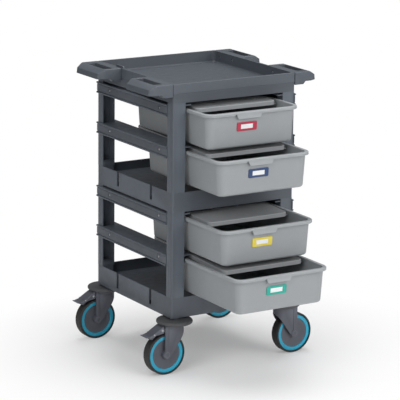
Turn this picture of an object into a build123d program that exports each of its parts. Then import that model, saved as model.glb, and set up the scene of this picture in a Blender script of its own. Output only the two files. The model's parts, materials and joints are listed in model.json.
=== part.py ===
from build123d import *
import os
from math import acos, atan, atan2, cos, degrees, hypot, sin

# Service cart: a moulded frame on four castors, with a tray and four handles on top and four
# drawers that each have a sliding lid.
# +X is the cart's right, the drawer fronts face -Y and +Z is up. Sizes are in millimetres.
# Pieces are built about the middle of the body, with z = 0 on the floor, and moved along Y last.

# Castors
wheel_radius = 72.5
wheel_width = 38.0
tyre_thickness = 7.0
ring_thickness = 13.0
ring_width = 31.0
ring_edge = 4.0
hub_width = 26.0
hub_boss_radius = 14.0
hub_boss_gap = 0.75
hub_recess = 1.5
hub_rim = 7.0
shoulder_radius = 6.0
castor_trail = 40.0
castor_inset_x = 21.5
castor_inset_y = 16.2
axle_radius = 5.0
axle_head_radius = 9.0
axle_head = 2.5
stem_radius = 6.0
stem_head_radius = 10.0
stem_head = 3.5
shaft_play = 0.05
wheel_side_gap = 1.5
fork_wall = 3.0
fork_lead = 34.0
fork_rear = 9.0
fork_end_radius = 16.0
fork_visor = 25.5
crown_gap = 8.0
crown_thickness = 22.0
crown_edge = 4.0
turn_gap = 0.5
bumper_radius = 62.5
bumper_thickness = 13.0
bumper_edge = 6.0
bumper_hub_radius = 15.5
bumper_hub = 5.2

# Brake pedal, in the castor's own frame: u runs from the swivel axis towards the trailing wheel
pedal_pin_radius = 3.0
pedal_pin_out = 19.0
pedal_pin_up = 87.3
pin_head_radius = 4.5
pin_head = 1.2
pedal_wall = 2.5
pedal_top = 3.0
pedal_side_play = 0.3
ear_wall = 3.0
ear_radius = 5.0
pedal_below_crown = 1.0
pedal_start = 13.5
pedal_start_drop = 24.0
pedal_crown = 35.0
pedal_crown_drop = 12.5
pedal_foot = 56.8
pedal_foot_drop = 26.0
pedal_waist = 41.9
pedal_waist_drop = 28.0
pedal_reach = 71.8
pedal_reach_drop = 30.0
pedal_front_drop = 38.5
pedal_skirt = 17.5
pedal_lip = 10.0
pedal_lip_rise = 0.0
pedal_lip_width = 40.0
pedal_lip_wall = 2.6
pedal_lip_root = 5.1
pedal_lip_step = 0.5
pad_gap = 5.5
pad_length = 11.0
pad_out = 43.0
pad_width = 24.0
rivet_radius = 2.2
rivet_out = 51.0
rivet_up = 75.8

# Body
body_width = 482.6
body_depth = 516.6
corner_radius = 6.0
hollow_corner = 1.0
wall = 5.0
floor = 4.0
rib = 4.0
base_height = 71.3
base_recess = 37.5
base_slot = 55.0
middle_height = 67.2
middle_recess = 30.4
middle_slot = 50.0
slot_offset = 114.0
slot_width = 12.0
drain_radius = 4.0
drain_x = 167.0
drain_y = 36.0
beam_peg_radius = 4.5
beam_peg_drop = 4.0
beam_peg_setback = 5.5
beam_peg_x = (-83.0, 17.0)

# Top tray
tray_skirt = 32.7
tray_band = 32.5
tray_step = 1.0
tray_wall = 9.0
tray_depth = 41.0
tray_corner = 14.0
tray_edge = 1.5
lug_length = 50.0
lug_height = 7.5
lug_thickness = 5.0
lug_setback = 2.5
lug_corner = 6.0
lug_y = 106.0

# Columns
column_width = 48.0
column_depth = 36.3
column_wall = 4.0
column_edge = 5.0
column_grip = 20.0
groove_offset = 23.0
groove_width = 1.6
groove_depth = 1.0
shelf = 4.0
fit_gap = 0.3

# Drawers, from the top one down
pulled_out = (125.0, 201.0, 231.0, 322.0)
drawer_height = 123.0
drawer_gap = 20.5
drawer_side_gap = 6.8
drawer_rear_gap = 9.6
drawer_draft = 7.9
drawer_wall = 3.5
drawer_bottom_radius = 10.0
drawer_inner_radius = 8.0
rim_below_beam = 23.0
upper_floor_gap = 15.8
lower_floor_gap = 8.2
rim_radius = 40.0
rim_overhang = 10.1
rim_height = 10.5
rim_wall = 3.0
rim_edge = 4.0
front_fittings_x = -23.0
pull_width = 104.0
pull_drop = 13.0
pull_slant = 7.0
pull_notch = 3.5
nub_offset = 128.0
nub_radius = 4.0
nub_proud = 2.0

# Labels
label_width = 78.0
label_height = 30.0
label_thickness = 2.5
label_corner = 4.0
label_below_rim = 52.0
card_width = 47.0
card_height = 15.0
card_thickness = 0.8
card_recess = 1.4
card_play = 0.3

# Lids
lid_back = (110.0, 120.0, 132.0, 125.0)
lid_width = 316.0
lid_length = 470.0
lid_lip = 15.0
lid_wall = 3.0
lid_corner = 18.0
lid_edge = 2.5
lid_above_rim = 2.0
lid_play = 0.35
lid_hole_x = 98.0
lid_hole_back = 44.0
lid_hole_radius = 4.0
ledge_overlap = 4.0
ledge_thickness = 3.0
ledge_setback = 24.0

# Rails and runners
rail_height = 41.0
ledge_level = 14.2
runner_wall = 3.0
runner_reach = 59.3
runner_top_reach = 69.3
slide_gap = 0.3
stop_wall = 3.0
stop_height = 10.0
tongue_length = 28.0
strip_wall = 2.0
bead_height = 6.5
bead_proud = 3.0
bead_edge = 2.8
strip_overrun = 1.7
screw_y = 170.0
screw_up = 22.0
screw_radius = 2.0
screw_head_radius = 4.0
screw_head = 1.5
screw_length = 10.0
screw_end_gap = 1.0
screw_boss = 12.0
screw_boss_depth = 7.0

# Handles
handle_length = 170.0
handle_height = 43.4
handle_reach = 90.7
handle_foot_reach = 35.7
handle_undercut = 44.7
handle_grip_height = 33.4
handle_crest_reach = 61.7
handle_shoulder_reach = 87.7
handle_shoulder_drop = 14.4
handle_slot_from = 26.7
handle_slot_width = 33.0
handle_end_bar = 28.0
handle_middle_bar = 16.0
handle_slot_corner = 7.0
handle_facet_x = 24.0
handle_facet_y = 12.0
handle_edge = 1.6
fastener_radius = 1.75
fastener_head_radius = 5.0
fastener_head = 2.4
fastener_length = 18.0
fastener_drop = 18.0
fastener_spacing = 85.0

# How far a cut runs past the face that it opens
past = 1.0

# Levels worked out from the sizes above
half_width = body_width / 2
half_depth = body_depth / 2
castor_x = half_width - castor_inset_x
castor_y = half_depth - castor_inset_y
crown_bottom = 2 * wheel_radius + crown_gap
crown_top = crown_bottom + crown_thickness
bumper_bottom = crown_top + turn_gap
base_bottom = bumper_bottom + bumper_thickness + bumper_hub
base_top = base_bottom + base_height
socket_top = base_top - base_recess - floor
stem_top = socket_top - floor
drawer_pitch = drawer_height + drawer_gap
middle_bottom = base_top + lower_floor_gap + drawer_height + drawer_pitch + rim_below_beam
middle_top = middle_bottom + middle_height
tray_bottom = middle_top + upper_floor_gap + drawer_height + drawer_pitch + rim_below_beam
tray_floor_bottom = tray_bottom + tray_skirt + tray_band - tray_depth - floor
tray_top = tray_bottom + tray_skirt + tray_band
rim_tops = (
    tray_bottom - rim_below_beam,
    tray_bottom - rim_below_beam - drawer_pitch,
    middle_bottom - rim_below_beam,
    middle_bottom - rim_below_beam - drawer_pitch,
)
opening_half = half_width - column_width
rim_half = opening_half - drawer_side_gap
drawer_length = body_depth - drawer_rear_gap
tub_half = rim_half - rim_overhang
ring_outer = wheel_radius - tyre_thickness
ring_inner = ring_outer - ring_thickness
fork_half = wheel_width / 2 + wheel_side_gap + fork_wall

# The origin is under the middle of the box round the cart as it stands, drawers pulled out
front_most = -half_depth - max(pulled_out)
rear_most = castor_y + bumper_radius
body_centre_y = -(front_most + rear_most) / 2


def block(x0, x1, y0, y1, z0, z1):
    """A box between two corners, in either order along each axis."""
    centre = ((x0 + x1) / 2, (y0 + y1) / 2, (z0 + z1) / 2)
    return Pos(*centre) * Box(abs(x1 - x0), abs(y1 - y0), abs(z1 - z0))


def rounded_block(width, depth, z0, z1, radius):
    """An upright block about the Z axis with rounded vertical edges."""
    return extrude(Pos(0, 0, z0) * RectangleRounded(width, depth, radius), z1 - z0)


def rod(start, end, radius):
    """A round bar from one point to another along one axis."""
    path = Vector(*end) - Vector(*start)
    return extrude(Plane(origin=start, z_dir=path.normalized()) * Circle(radius), path.length)


def side_prism(points, y0, y1):
    """A prism along Y whose outline is given as (x, z) points."""
    outline = Plane.XZ * make_face(Polyline(*points, close=True))
    return Pos(0, y1, 0) * extrude(outline, y1 - y0)


def corners(solid):
    """The solid of the right rear corner and its copies at the other three."""
    left = mirror(solid, about=Plane.YZ)
    return [solid, left, mirror(solid, about=Plane.XZ), mirror(left, about=Plane.XZ)]


def both_sides(solid):
    """The solid of the right side and its mirror image on the left."""
    return [solid, mirror(solid, about=Plane.YZ)]


def turned(solid):
    """The solid of the right side and the same piece turned round on the left."""
    return [solid, Rot(Z=180) * solid]


def within(radius, wall):
    """A fillet's radius, kept just under the wall that it rounds."""
    return min(radius, 0.95 * wall)


def write(name, *solids):
    """Moves a node's solids to the part's origin and writes them."""
    moved = [Pos(0, body_centre_y, 0) * solid for solid in solids]
    shape = moved[0] if len(moved) == 1 else Compound(children=moved)
    export_step(shape, f"parts/{name}.step")


def platform(bottom, height, recess, slot):
    """A shallow moulded tray with a hollow underside and slots in its side walls."""
    top = bottom + height
    floor_top = top - recess
    inner_width = body_width - 2 * wall
    inner_depth = body_depth - 2 * wall
    shape = rounded_block(body_width, body_depth, bottom, top, corner_radius)
    shape -= rounded_block(inner_width, inner_depth, floor_top, top, hollow_corner)
    hollow = rounded_block(inner_width, inner_depth, bottom, floor_top - floor, hollow_corner)
    hollow -= block(-rib / 2, rib / 2, -half_depth, half_depth, bottom, top)
    hollow -= block(-half_width, half_width, -rib / 2, rib / 2, bottom, top)
    shape -= hollow
    for side in (-1, 1):
        for y in (-slot_offset, slot_offset):
            inside = side * (half_width - wall)
            outside = side * (half_width + past)
            shape -= block(inside, outside, y - slot_width / 2, y + slot_width / 2, top - slot, top)
        shape -= rod(
            (side * drain_x, side * drain_y, floor_top - floor),
            (side * drain_x, side * drain_y, floor_top),
            drain_radius,
        )
    return shape


def base_platform():
    """The lower platform, with a socket block over each castor."""
    shape = platform(base_bottom, base_height, base_recess, base_slot)
    for socket in corners(
        block(
            half_width - 2 * castor_inset_x + wall,
            half_width - wall,
            half_depth - 2 * castor_inset_y,
            half_depth - wall,
            base_bottom,
            socket_top,
        )
    ):
        shape += socket
    for hole in corners(
        rod(
            (castor_x, castor_y, base_bottom),
            (castor_x, castor_y, stem_top),
            stem_radius + shaft_play,
        )
    ):
        shape -= hole
    return shape


def middle_platform():
    """The upper platform, with two small pegs under its front beam."""
    shape = platform(middle_bottom, middle_height, middle_recess, middle_slot)
    for x in beam_peg_x:
        shape += rod(
            (x, -half_depth + beam_peg_setback, middle_bottom + floor),
            (x, -half_depth + beam_peg_setback, middle_bottom - beam_peg_drop),
            beam_peg_radius,
        )
    return shape


def fastener_places():
    """Where each handle's two screws cross the tray wall, as (y, z) for the rear handles."""
    middle = half_depth - handle_length / 2
    level = tray_top - fastener_drop
    return [(middle - fastener_spacing / 2, level), (middle + fastener_spacing / 2, level)]


def top_tray():
    """The deep tray on top, with a hollow skirt that takes the columns."""
    step_level = tray_bottom + tray_skirt
    shape = rounded_block(body_width, body_depth, tray_bottom, step_level, corner_radius)
    band = rounded_block(
        body_width + 2 * tray_step, body_depth + 2 * tray_step, step_level, tray_top, corner_radius
    )
    shape += fillet(band.faces().sort_by(Axis.Z)[-1].edges(), tray_edge)
    shape -= rounded_block(
        body_width + 2 * tray_step - 2 * tray_wall,
        body_depth + 2 * tray_step - 2 * tray_wall,
        tray_floor_bottom + floor,
        tray_top,
        tray_corner,
    )
    hollow = rounded_block(
        body_width - 2 * wall,
        body_depth - 2 * wall,
        tray_bottom,
        tray_floor_bottom,
        hollow_corner,
    )
    hollow -= block(-rib / 2, rib / 2, -half_depth, half_depth, tray_bottom, tray_top)
    hollow -= block(-half_width, half_width, -rib / 2, rib / 2, tray_bottom, tray_top)
    shape -= hollow
    outside = half_width + tray_step
    inside = outside - tray_wall
    for y, z in fastener_places():
        hole = rod((inside - past, y, z), (outside, y, z), fastener_radius + 2 * shaft_play)
        sink = rod(
            (inside - past, y, z), (inside + fastener_head, y, z), fastener_head_radius + fit_gap
        )
        for copy in corners(hole + sink):
            shape -= copy
    outer = -half_width - tray_step + lug_setback
    lug = block(
        outer,
        outer + lug_thickness,
        lug_y - lug_length / 2,
        lug_y + lug_length / 2,
        tray_top - tray_edge,
        tray_top + lug_height,
    )
    lug_ends = lug.edges().filter_by(Axis.X).group_by(Axis.Z)[-1]
    shape += fillet(lug_ends, within(lug_corner, lug_height))
    return shape


def column(bottom, top, foot, head, shelves):
    """The right rear column: an open channel with a plug at each end and inner shelves."""
    inner_x = opening_half
    inner_y = half_depth - column_depth
    shape = block(inner_x, half_width, inner_y, half_depth, bottom, top)
    uprights = shape.edges().filter_by(Axis.Z)
    outer_edge = uprights.sort_by(lambda edge: edge.center().X + edge.center().Y)[-1]
    shape = fillet(outer_edge, column_edge)
    channel = (inner_x + column_wall, half_width - column_wall, inner_y, half_depth - column_wall)
    shape -= block(*channel, bottom, top)
    groove_y = half_depth - groove_offset
    shape -= block(
        half_width - groove_depth,
        half_width,
        groove_y - groove_width / 2,
        groove_y + groove_width / 2,
        bottom,
        top,
    )
    plug = (
        inner_x + column_wall,
        half_width - wall - fit_gap,
        inner_y,
        half_depth - wall - fit_gap,
    )
    shape += block(*channel, bottom, bottom + column_grip)
    shape += block(*plug, bottom - foot, bottom)
    shape += block(*channel, top - column_grip, top)
    shape += block(*plug, top, top + head)
    for level in shelves:
        shape += block(*channel, level - shelf, level)
    return shape


def rail_bottoms():
    """The underside of the rail at each drawer's level."""
    return [top - rim_height - slide_gap - ledge_level for top in rim_tops]


def strip(bottom):
    """The right side's outer strip, with a half-round bead along its top and bottom."""
    front = -half_depth - strip_overrun
    rear = half_depth - column_depth
    outer = half_width + strip_wall
    shape = block(half_width, outer, front, rear, bottom, bottom + rail_height)
    for z in (bottom + bead_height / 2, bottom + rail_height - bead_height / 2):
        bead = block(outer, outer + bead_proud, front, rear, z - bead_height / 2, z + bead_height / 2)
        crest = bead.edges().filter_by(Axis.Y).group_by(Axis.X)[-1]
        shape += fillet(crest, within(bead_edge, min(bead_height / 2, bead_proud)))
    for y in (-screw_y, screw_y):
        shape -= rod(
            (half_width - past, y, bottom + screw_up),
            (outer + past, y, bottom + screw_up),
            screw_radius + 2 * shaft_play,
        )
    return shape


def runner(bottom):
    """The right side's inner channel: the drawer rim slides on its lower ledge."""
    column_face = half_depth - column_depth
    end = column_face - fit_gap
    inner = half_width - runner_wall
    top = bottom + rail_height
    ledge_top = bottom + ledge_level
    ledge_bottom = ledge_top - runner_wall
    cover = half_width - runner_top_reach
    ledge = half_width - runner_reach
    shape = block(inner, half_width, -end, end, bottom, top)
    shape += block(cover, half_width, -end, end, top - runner_wall, top)
    shape += block(ledge, half_width, -end, end, ledge_bottom, ledge_top)
    long_end = half_depth - fit_gap
    long_outer = opening_half - fit_gap
    shape += block(cover, long_outer, -long_end, long_end, top - runner_wall, top)
    shape += block(ledge, long_outer, -long_end, long_end, ledge_bottom, ledge_top)
    stop = -half_depth + drawer_length + slide_gap
    shape += block(ledge, long_outer, stop, stop + stop_wall, ledge_bottom, ledge_top + stop_height)
    hole_end = half_width + strip_wall - screw_length - screw_end_gap
    for side in (-1, 1):
        shape += block(
            opening_half + column_wall + fit_gap,
            half_width - column_wall - fit_gap,
            side * (end - runner_wall),
            side * (column_face + tongue_length),
            bottom,
            ledge_top,
        )
        y = side * screw_y
        shape += block(
            inner - screw_boss_depth,
            inner,
            y - screw_boss / 2,
            y + screw_boss / 2,
            bottom + screw_up - screw_boss / 2,
            bottom + screw_up + screw_boss / 2,
        )
        shape -= rod(
            (half_width + past, y, bottom + screw_up),
            (hole_end, y, bottom + screw_up),
            screw_radius + shaft_play,
        )
    return shape


def rail_screws():
    """The screws that hold the strips of both sides to their runners."""
    solids = []
    seat = half_width + strip_wall
    for bottom in rail_bottoms():
        for y in (-screw_y, screw_y):
            z = bottom + screw_up
            head = rod((seat, y, z), (seat + screw_head, y, z), screw_head_radius)
            shank = rod((seat - screw_length, y, z), (seat, y, z), screw_radius)
            solids += both_sides(head + shank)
    return solids


def handle():
    """The right rear handle: a bar round a hand slot, on a foot against the tray wall."""
    seat = half_width + tray_step
    outline = [
        (seat, tray_top - handle_height),
        (half_width + handle_foot_reach, tray_top - handle_height),
        (half_width + handle_undercut, tray_top - handle_grip_height),
        (half_width + handle_reach, tray_top - handle_grip_height),
        (half_width + handle_shoulder_reach, tray_top - handle_shoulder_drop),
        (half_width + handle_crest_reach, tray_top),
        (seat, tray_top),
    ]
    rear = half_depth + tray_step
    front = rear - handle_length
    shape = side_prism(outline, front, rear)
    reach = half_width + handle_reach
    for end, inward in ((rear, -1), (front, 1)):
        wedge = Polyline(
            (reach - handle_facet_x, end),
            (reach + past, end),
            (reach + past, end + inward * handle_facet_y * (handle_facet_x + past) / handle_facet_x),
            close=True,
        )
        shape -= Pos(0, 0, tray_top - handle_height) * extrude(make_face(wedge), handle_height)
    grip_start = half_width + handle_undercut
    shape = fillet(shape.edges().filter_by(lambda edge: edge.center().X > grip_start), handle_edge)
    slot_front = front + handle_middle_bar
    slot_rear = rear - handle_end_bar
    slot_inner = half_width + handle_slot_from
    slot = Pos(slot_inner + handle_slot_width / 2, (slot_front + slot_rear) / 2, 0) * RectangleRounded(
        handle_slot_width, slot_rear - slot_front, handle_slot_corner
    )
    shape -= Pos(0, 0, tray_top - handle_height - past) * extrude(slot, handle_height + 2 * past)
    for y, z in fastener_places():
        hole_end = seat - tray_wall + fastener_length + screw_end_gap
        shape -= rod((seat - past, y, z), (hole_end, y, z), fastener_radius + shaft_play)
    return shape


def handle_screws():
    """The screws that hold the handles, with their heads sunk in the tray wall."""
    solids = []
    inside = half_width + tray_step - tray_wall
    for y, z in fastener_places():
        seat = inside + fastener_head
        head = rod((inside, y, z), (seat, y, z), fastener_head_radius)
        shank = rod((seat, y, z), (inside + fastener_length, y, z), fastener_radius)
        solids += corners(head + shank)
    return solids


def tub(half, front, depth, radius, height, draft, bottom_radius):
    """A tapered tub-shaped solid, hanging from z = 0, with a rounded bottom edge."""
    middle = front + depth / 2
    upper = Pos(0, middle, 0) * RectangleRounded(2 * half, depth, radius)
    lower = Pos(0, middle, -height) * RectangleRounded(
        2 * (half - draft), depth - 2 * draft, radius - draft
    )
    shape = loft([lower, upper], ruled=True)
    return fillet(shape.faces().sort_by(Axis.Z)[0].edges(), bottom_radius)


def tub_side(depth):
    """Half the drawer's outer width at a depth under its rim's top."""
    return tub_half - drawer_draft * depth / drawer_height


def drawer():
    """A drawer with its rim front at y = 0 and its rim top at z = 0."""
    middle = drawer_length / 2
    inner_half = tub_half - drawer_wall
    inner_front = rim_overhang + drawer_wall
    outer = tub(
        tub_half,
        rim_overhang,
        drawer_length - 2 * rim_overhang,
        rim_radius - rim_overhang,
        drawer_height,
        drawer_draft,
        drawer_bottom_radius,
    )
    cavity = tub(
        inner_half,
        inner_front,
        drawer_length - 2 * inner_front,
        rim_radius - inner_front,
        drawer_height - drawer_wall,
        drawer_draft,
        drawer_inner_radius,
    )
    rim_outline = RectangleRounded(2 * rim_half, drawer_length, rim_radius)
    rim = extrude(Pos(0, middle, -rim_height) * rim_outline, rim_height)
    rim = fillet(rim.faces().sort_by(Axis.Z)[-1].edges(), rim_edge)
    rim -= extrude(
        Pos(0, middle, -rim_height)
        * RectangleRounded(2 * (rim_half - rim_wall), drawer_length - 2 * rim_wall, rim_radius - rim_wall),
        rim_height - rim_wall,
    )
    left = front_fittings_x - pull_width / 2
    right = front_fittings_x + pull_width / 2
    low = -rim_height - pull_drop
    pull = side_prism(
        [(left, -rim_height), (left + pull_slant, low), (right - pull_slant, low), (right, -rim_height)],
        0,
        rim_wall,
    )
    pull += block(left, right, 0, rim_wall, -rim_height, -rim_edge)
    pull -= rod((left, -past, -rim_height), (left, rim_wall + past, -rim_height), pull_notch)
    shape = rim + outer + pull
    nub_level = -rim_height - nub_radius
    for side in (-1, 1):
        for y in (nub_offset, drawer_length - nub_offset):
            shape += rod(
                (side * (tub_half - drawer_wall), y, nub_level),
                (side * (tub_side(-nub_level) + nub_proud), y, nub_level),
                nub_radius,
            )
    return shape - cavity


def drawer_with_ledges(setback):
    """A drawer with the two inner ledges that carry its lid, starting under the lid's front."""
    shape = drawer()
    ledge_top = lid_above_rim - lid_lip - lid_play
    inner = lid_width / 2 - ledge_overlap
    outer = tub_side(ledge_thickness - ledge_top) - drawer_wall / 2
    for side in (-1, 1):
        shape += block(
            side * inner,
            side * outer,
            setback + ledge_setback,
            drawer_length - rim_radius,
            ledge_top - ledge_thickness,
            ledge_top,
        )
    return shape


def label_plane(lift):
    """The plane of the drawer's sloping front at the label, moved out by lift."""
    slope = drawer_draft / drawer_height
    angle = atan(slope)
    face_y = rim_overhang + slope * label_below_rim
    normal = Vector(0, -cos(angle), -sin(angle))
    origin = Vector(front_fittings_x, face_y, -label_below_rim) + normal * lift
    return Plane(origin=origin, x_dir=(1, 0, 0), z_dir=normal)


def label_holder():
    """The label frame on the drawer's front, with a window for the card."""
    outline = RectangleRounded(label_width, label_height, label_corner)
    shape = extrude(label_plane(0) * outline, label_thickness)
    window = Rectangle(card_width + 2 * card_play, card_height + 2 * card_play)
    return shape - extrude(label_plane(label_thickness - card_recess) * window, card_recess)


def label_card():
    """The blank card that lies in the label frame."""
    return extrude(
        label_plane(label_thickness - card_recess) * Rectangle(card_width, card_height), card_thickness
    )


def lid_tilt(back):
    """The tilt at which a lid lies on its ledges in front and on the drawer's rear rim behind."""
    rise = lid_lip - lid_above_rim + lid_play
    run = drawer_length - rim_overhang - drawer_wall - back
    return degrees(atan(rise / run))


def lid(tilt):
    """A lid with its front edge at y = 0 and its front top edge at z = 0, tilted up to the rear."""
    outline = Pos(0, lid_length / 2, -lid_lip) * RectangleRounded(lid_width, lid_length, lid_corner)
    shape = extrude(outline, lid_lip)
    shape = fillet(shape.faces().sort_by(Axis.Z)[-1].edges(), lid_edge)
    hollow = Pos(0, lid_length / 2, -lid_lip) * RectangleRounded(
        lid_width - 2 * lid_wall, lid_length - 2 * lid_wall, lid_corner - lid_wall
    )
    shape -= extrude(hollow, lid_lip - lid_wall)
    shape -= rod((lid_hole_x, lid_hole_back, -lid_wall), (lid_hole_x, lid_hole_back, 0), lid_hole_radius)
    return Rot(X=tilt) * shape


def in_castor(side_x, side_y, shape):
    """Places a piece of a castor, whose wheel trails along +X, at one corner of the cart."""
    turn = 0 if side_x > 0 else 180
    return Pos(side_x * castor_x, side_y * castor_y, 0) * Rot(Z=turn) * shape


def fork(braked):
    """The castor's fork: a crown with a rounded nose and two legs that narrow to the axle."""
    rear = castor_trail + fork_rear
    nose = fork_half - fork_lead
    side_end = fork_half + past
    axle_line = ((castor_trail, -side_end, wheel_radius), (castor_trail, side_end, wheel_radius))

    def outline(radius, back):
        bar = Pos((nose + back) / 2, 0) * Rectangle(back - nose, 2 * radius)
        return Pos(nose, 0) * Circle(radius) + bar

    low = wheel_radius - fork_end_radius - past
    end = castor_trail + fork_end_radius + past
    shape = extrude(Pos(0, 0, low) * outline(fork_half, end), crown_top - low)
    shape = fillet(shape.faces().sort_by(Axis.Z)[-1].edges(), crown_edge)
    hollow = outline(fork_half - fork_wall, end + past)
    shape -= extrude(Pos(0, 0, low - past) * hollow, crown_bottom - low + past)
    visor = crown_top - fork_visor
    away = atan2(visor - wheel_radius, -fork_lead - castor_trail)
    reach = hypot(visor - wheel_radius, fork_lead + castor_trail)
    touch = away + acos(fork_end_radius / reach)
    tangent_u = castor_trail + fork_end_radius * cos(touch)
    tangent_z = wheel_radius + fork_end_radius * sin(touch)
    side = side_prism(
        [
            (-fork_lead - past, crown_top + past),
            (-fork_lead - past, visor),
            (-fork_lead, visor),
            (tangent_u, tangent_z),
            (castor_trail, wheel_radius),
            (rear, wheel_radius),
            (rear, crown_top + past),
        ],
        -side_end,
        side_end,
    )
    side += rod(*axle_line, fork_end_radius)
    shape = shape & side
    shape -= rod(*axle_line, axle_radius + shaft_play)
    shape -= rod((0, 0, crown_bottom - past), (0, 0, crown_top + past), stem_radius + shaft_play)
    if braked:
        for ear in pedal_ears():
            shape += ear
        shape -= pedal_pin_hole()
    return shape


def pedal_ears():
    """The two ears of the fork that hold the brake pedal's pin, inside the pedal's sides."""
    pin_u = castor_trail + pedal_pin_out
    pin_z = wheel_radius + pedal_pin_up
    root = castor_trail + fork_rear - fork_wall
    outer = fork_half - pedal_wall - pedal_side_play
    inner = outer - ear_wall
    ears = []
    for sign in (-1, 1):
        arm = block(root, pin_u, sign * inner, sign * outer, pin_z - ear_radius, pin_z + ear_radius)
        ears.append(arm + rod((pin_u, sign * inner, pin_z), (pin_u, sign * outer, pin_z), ear_radius))
    return ears


def pedal_pin_hole():
    """The running hole of the brake pedal's pin."""
    u = castor_trail + pedal_pin_out
    z = wheel_radius + pedal_pin_up
    end = fork_half + past
    return rod((u, -end, z), (u, end, z), pedal_pin_radius + shaft_play)


def pedal():
    """The brake pedal: a hood over the wheel, flush with the fork, with a foot lip and a pad."""
    top = crown_top - pedal_below_crown
    start = (castor_trail + pedal_start, top)
    crown = (castor_trail + pedal_crown, top - pedal_crown_drop)
    foot = (castor_trail + pedal_foot, top - pedal_foot_drop)
    tip = (castor_trail + pedal_reach, top - pedal_reach_drop)
    back = [ThreePointArc(start, crown, foot), Line(foot, tip)]
    rest = Polyline(
        tip,
        (castor_trail + pedal_reach - pedal_wall, top - pedal_front_drop),
        (castor_trail + pedal_waist, top - pedal_waist_drop),
        (castor_trail + pedal_start, top - pedal_start_drop),
        start,
    )
    outline = make_face(Wire([*back, *rest.edges()]))
    shape = Pos(0, fork_half, 0) * extrude(Plane.XZ * outline, 2 * fork_half)
    inner_half = fork_half - pedal_wall
    inside = Pos(-pedal_wall, inner_half, -pedal_top) * extrude(Plane.XZ * outline, 2 * inner_half)
    below = Pos(0, 0, -pedal_skirt) * inside
    before = Pos(-pedal_start, 0, 0) * inside
    shape = shape - inside - below - before
    root_u = tip[0] - pedal_wall
    lip_u = tip[0] + pedal_lip
    lip_z = tip[1] + pedal_lip_rise - pedal_lip_wall / 2
    shape += side_prism(
        [
            (root_u, tip[1] - pedal_lip_step - pedal_lip_root),
            (lip_u, lip_z - pedal_lip_wall / 2),
            (lip_u, lip_z + pedal_lip_wall / 2),
            (root_u, tip[1] - pedal_lip_step),
        ],
        -pedal_lip_width / 2,
        pedal_lip_width / 2,
    )
    filled = Polyline(tip, (tip[0], wheel_radius), (start[0], wheel_radius), start)
    under = Plane.XZ * make_face(Wire([*back, *filled.edges()]))
    pad_start = castor_trail + pad_out
    pad_end = pad_start + pad_length
    pad = block(pad_start, pad_end, -pad_width / 2, pad_width / 2, wheel_radius, top)
    pad &= Pos(0, pad_width / 2, 0) * extrude(under, pad_width)
    shape += pad - rod(
        (castor_trail, -fork_half, wheel_radius),
        (castor_trail, fork_half, wheel_radius),
        wheel_radius + pad_gap,
    )
    rivet_u = castor_trail + rivet_out
    rivet_z = wheel_radius + rivet_up
    rivet_end = fork_half + pin_head
    shape += rod((rivet_u, -rivet_end, rivet_z), (rivet_u, rivet_end, rivet_z), rivet_radius)
    return shape - pedal_pin_hole()


def pedal_pin():
    """The pin that the brake pedal turns on, headed at both ends."""
    u = castor_trail + pedal_pin_out
    z = wheel_radius + pedal_pin_up
    reach = fork_half + pedal_side_play
    shape = rod((u, -reach, z), (u, reach, z), pedal_pin_radius)
    for sign in (-1, 1):
        shape += rod((u, sign * reach, z), (u, sign * (reach + pin_head), z), pin_head_radius)
    return shape


def axle():
    """The wheel's axle, with a flat head outside each leg."""
    ends = ((castor_trail, -fork_half, wheel_radius), (castor_trail, fork_half, wheel_radius))
    shape = rod(*ends, axle_radius)
    for sign in (-1, 1):
        seat = (castor_trail, sign * fork_half, wheel_radius)
        shape += rod(seat, (castor_trail, sign * (fork_half + axle_head), wheel_radius), axle_head_radius)
    return shape


def band(inner, outer, width, edge):
    """A ring of the wheel about its axle, with rounded outer side edges."""
    half = width / 2
    axis_line = ((castor_trail, -half, wheel_radius), (castor_trail, half, wheel_radius))
    shape = rod(*axis_line, outer)
    shape = fillet(shape.edges().filter_by(GeomType.CIRCLE), edge)
    return shape - rod(*axis_line, inner)


def hub():
    """The wheel's hub: a disc with a shallow dish on each side and a boss round the axle."""
    half = hub_width / 2
    start = (castor_trail, -half, wheel_radius)
    end = (castor_trail, half, wheel_radius)
    shape = rod(start, end, ring_inner)
    for sign in (-1, 1):
        face = (castor_trail, sign * half, wheel_radius)
        deep = (castor_trail, sign * (half - hub_recess), wheel_radius)
        shape -= rod(face, deep, ring_inner - hub_rim)
    boss = wheel_width / 2 + wheel_side_gap - hub_boss_gap
    ends = ((castor_trail, -boss, wheel_radius), (castor_trail, boss, wheel_radius))
    return shape + rod(*ends, hub_boss_radius) - rod(*ends, axle_radius + shaft_play)


def bumper():
    """The round bumper over a castor, with a hub up to the platform."""
    shape = rod((0, 0, bumper_bottom), (0, 0, bumper_bottom + bumper_thickness), bumper_radius)
    shape = fillet(shape.edges().filter_by(GeomType.CIRCLE), bumper_edge)
    shape += rod((0, 0, bumper_bottom + bumper_thickness), (0, 0, base_bottom), bumper_hub_radius)
    return shape - rod((0, 0, bumper_bottom), (0, 0, base_bottom), stem_radius + shaft_play)


def stem():
    """The castor's stem, headed under the crown and held in the platform's socket."""
    head_top = crown_bottom - slide_gap
    shape = rod((0, 0, head_top), (0, 0, stem_top), stem_radius)
    return shape + rod((0, 0, head_top - stem_head), (0, 0, head_top), stem_head_radius)


os.makedirs("parts", exist_ok=True)

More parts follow.
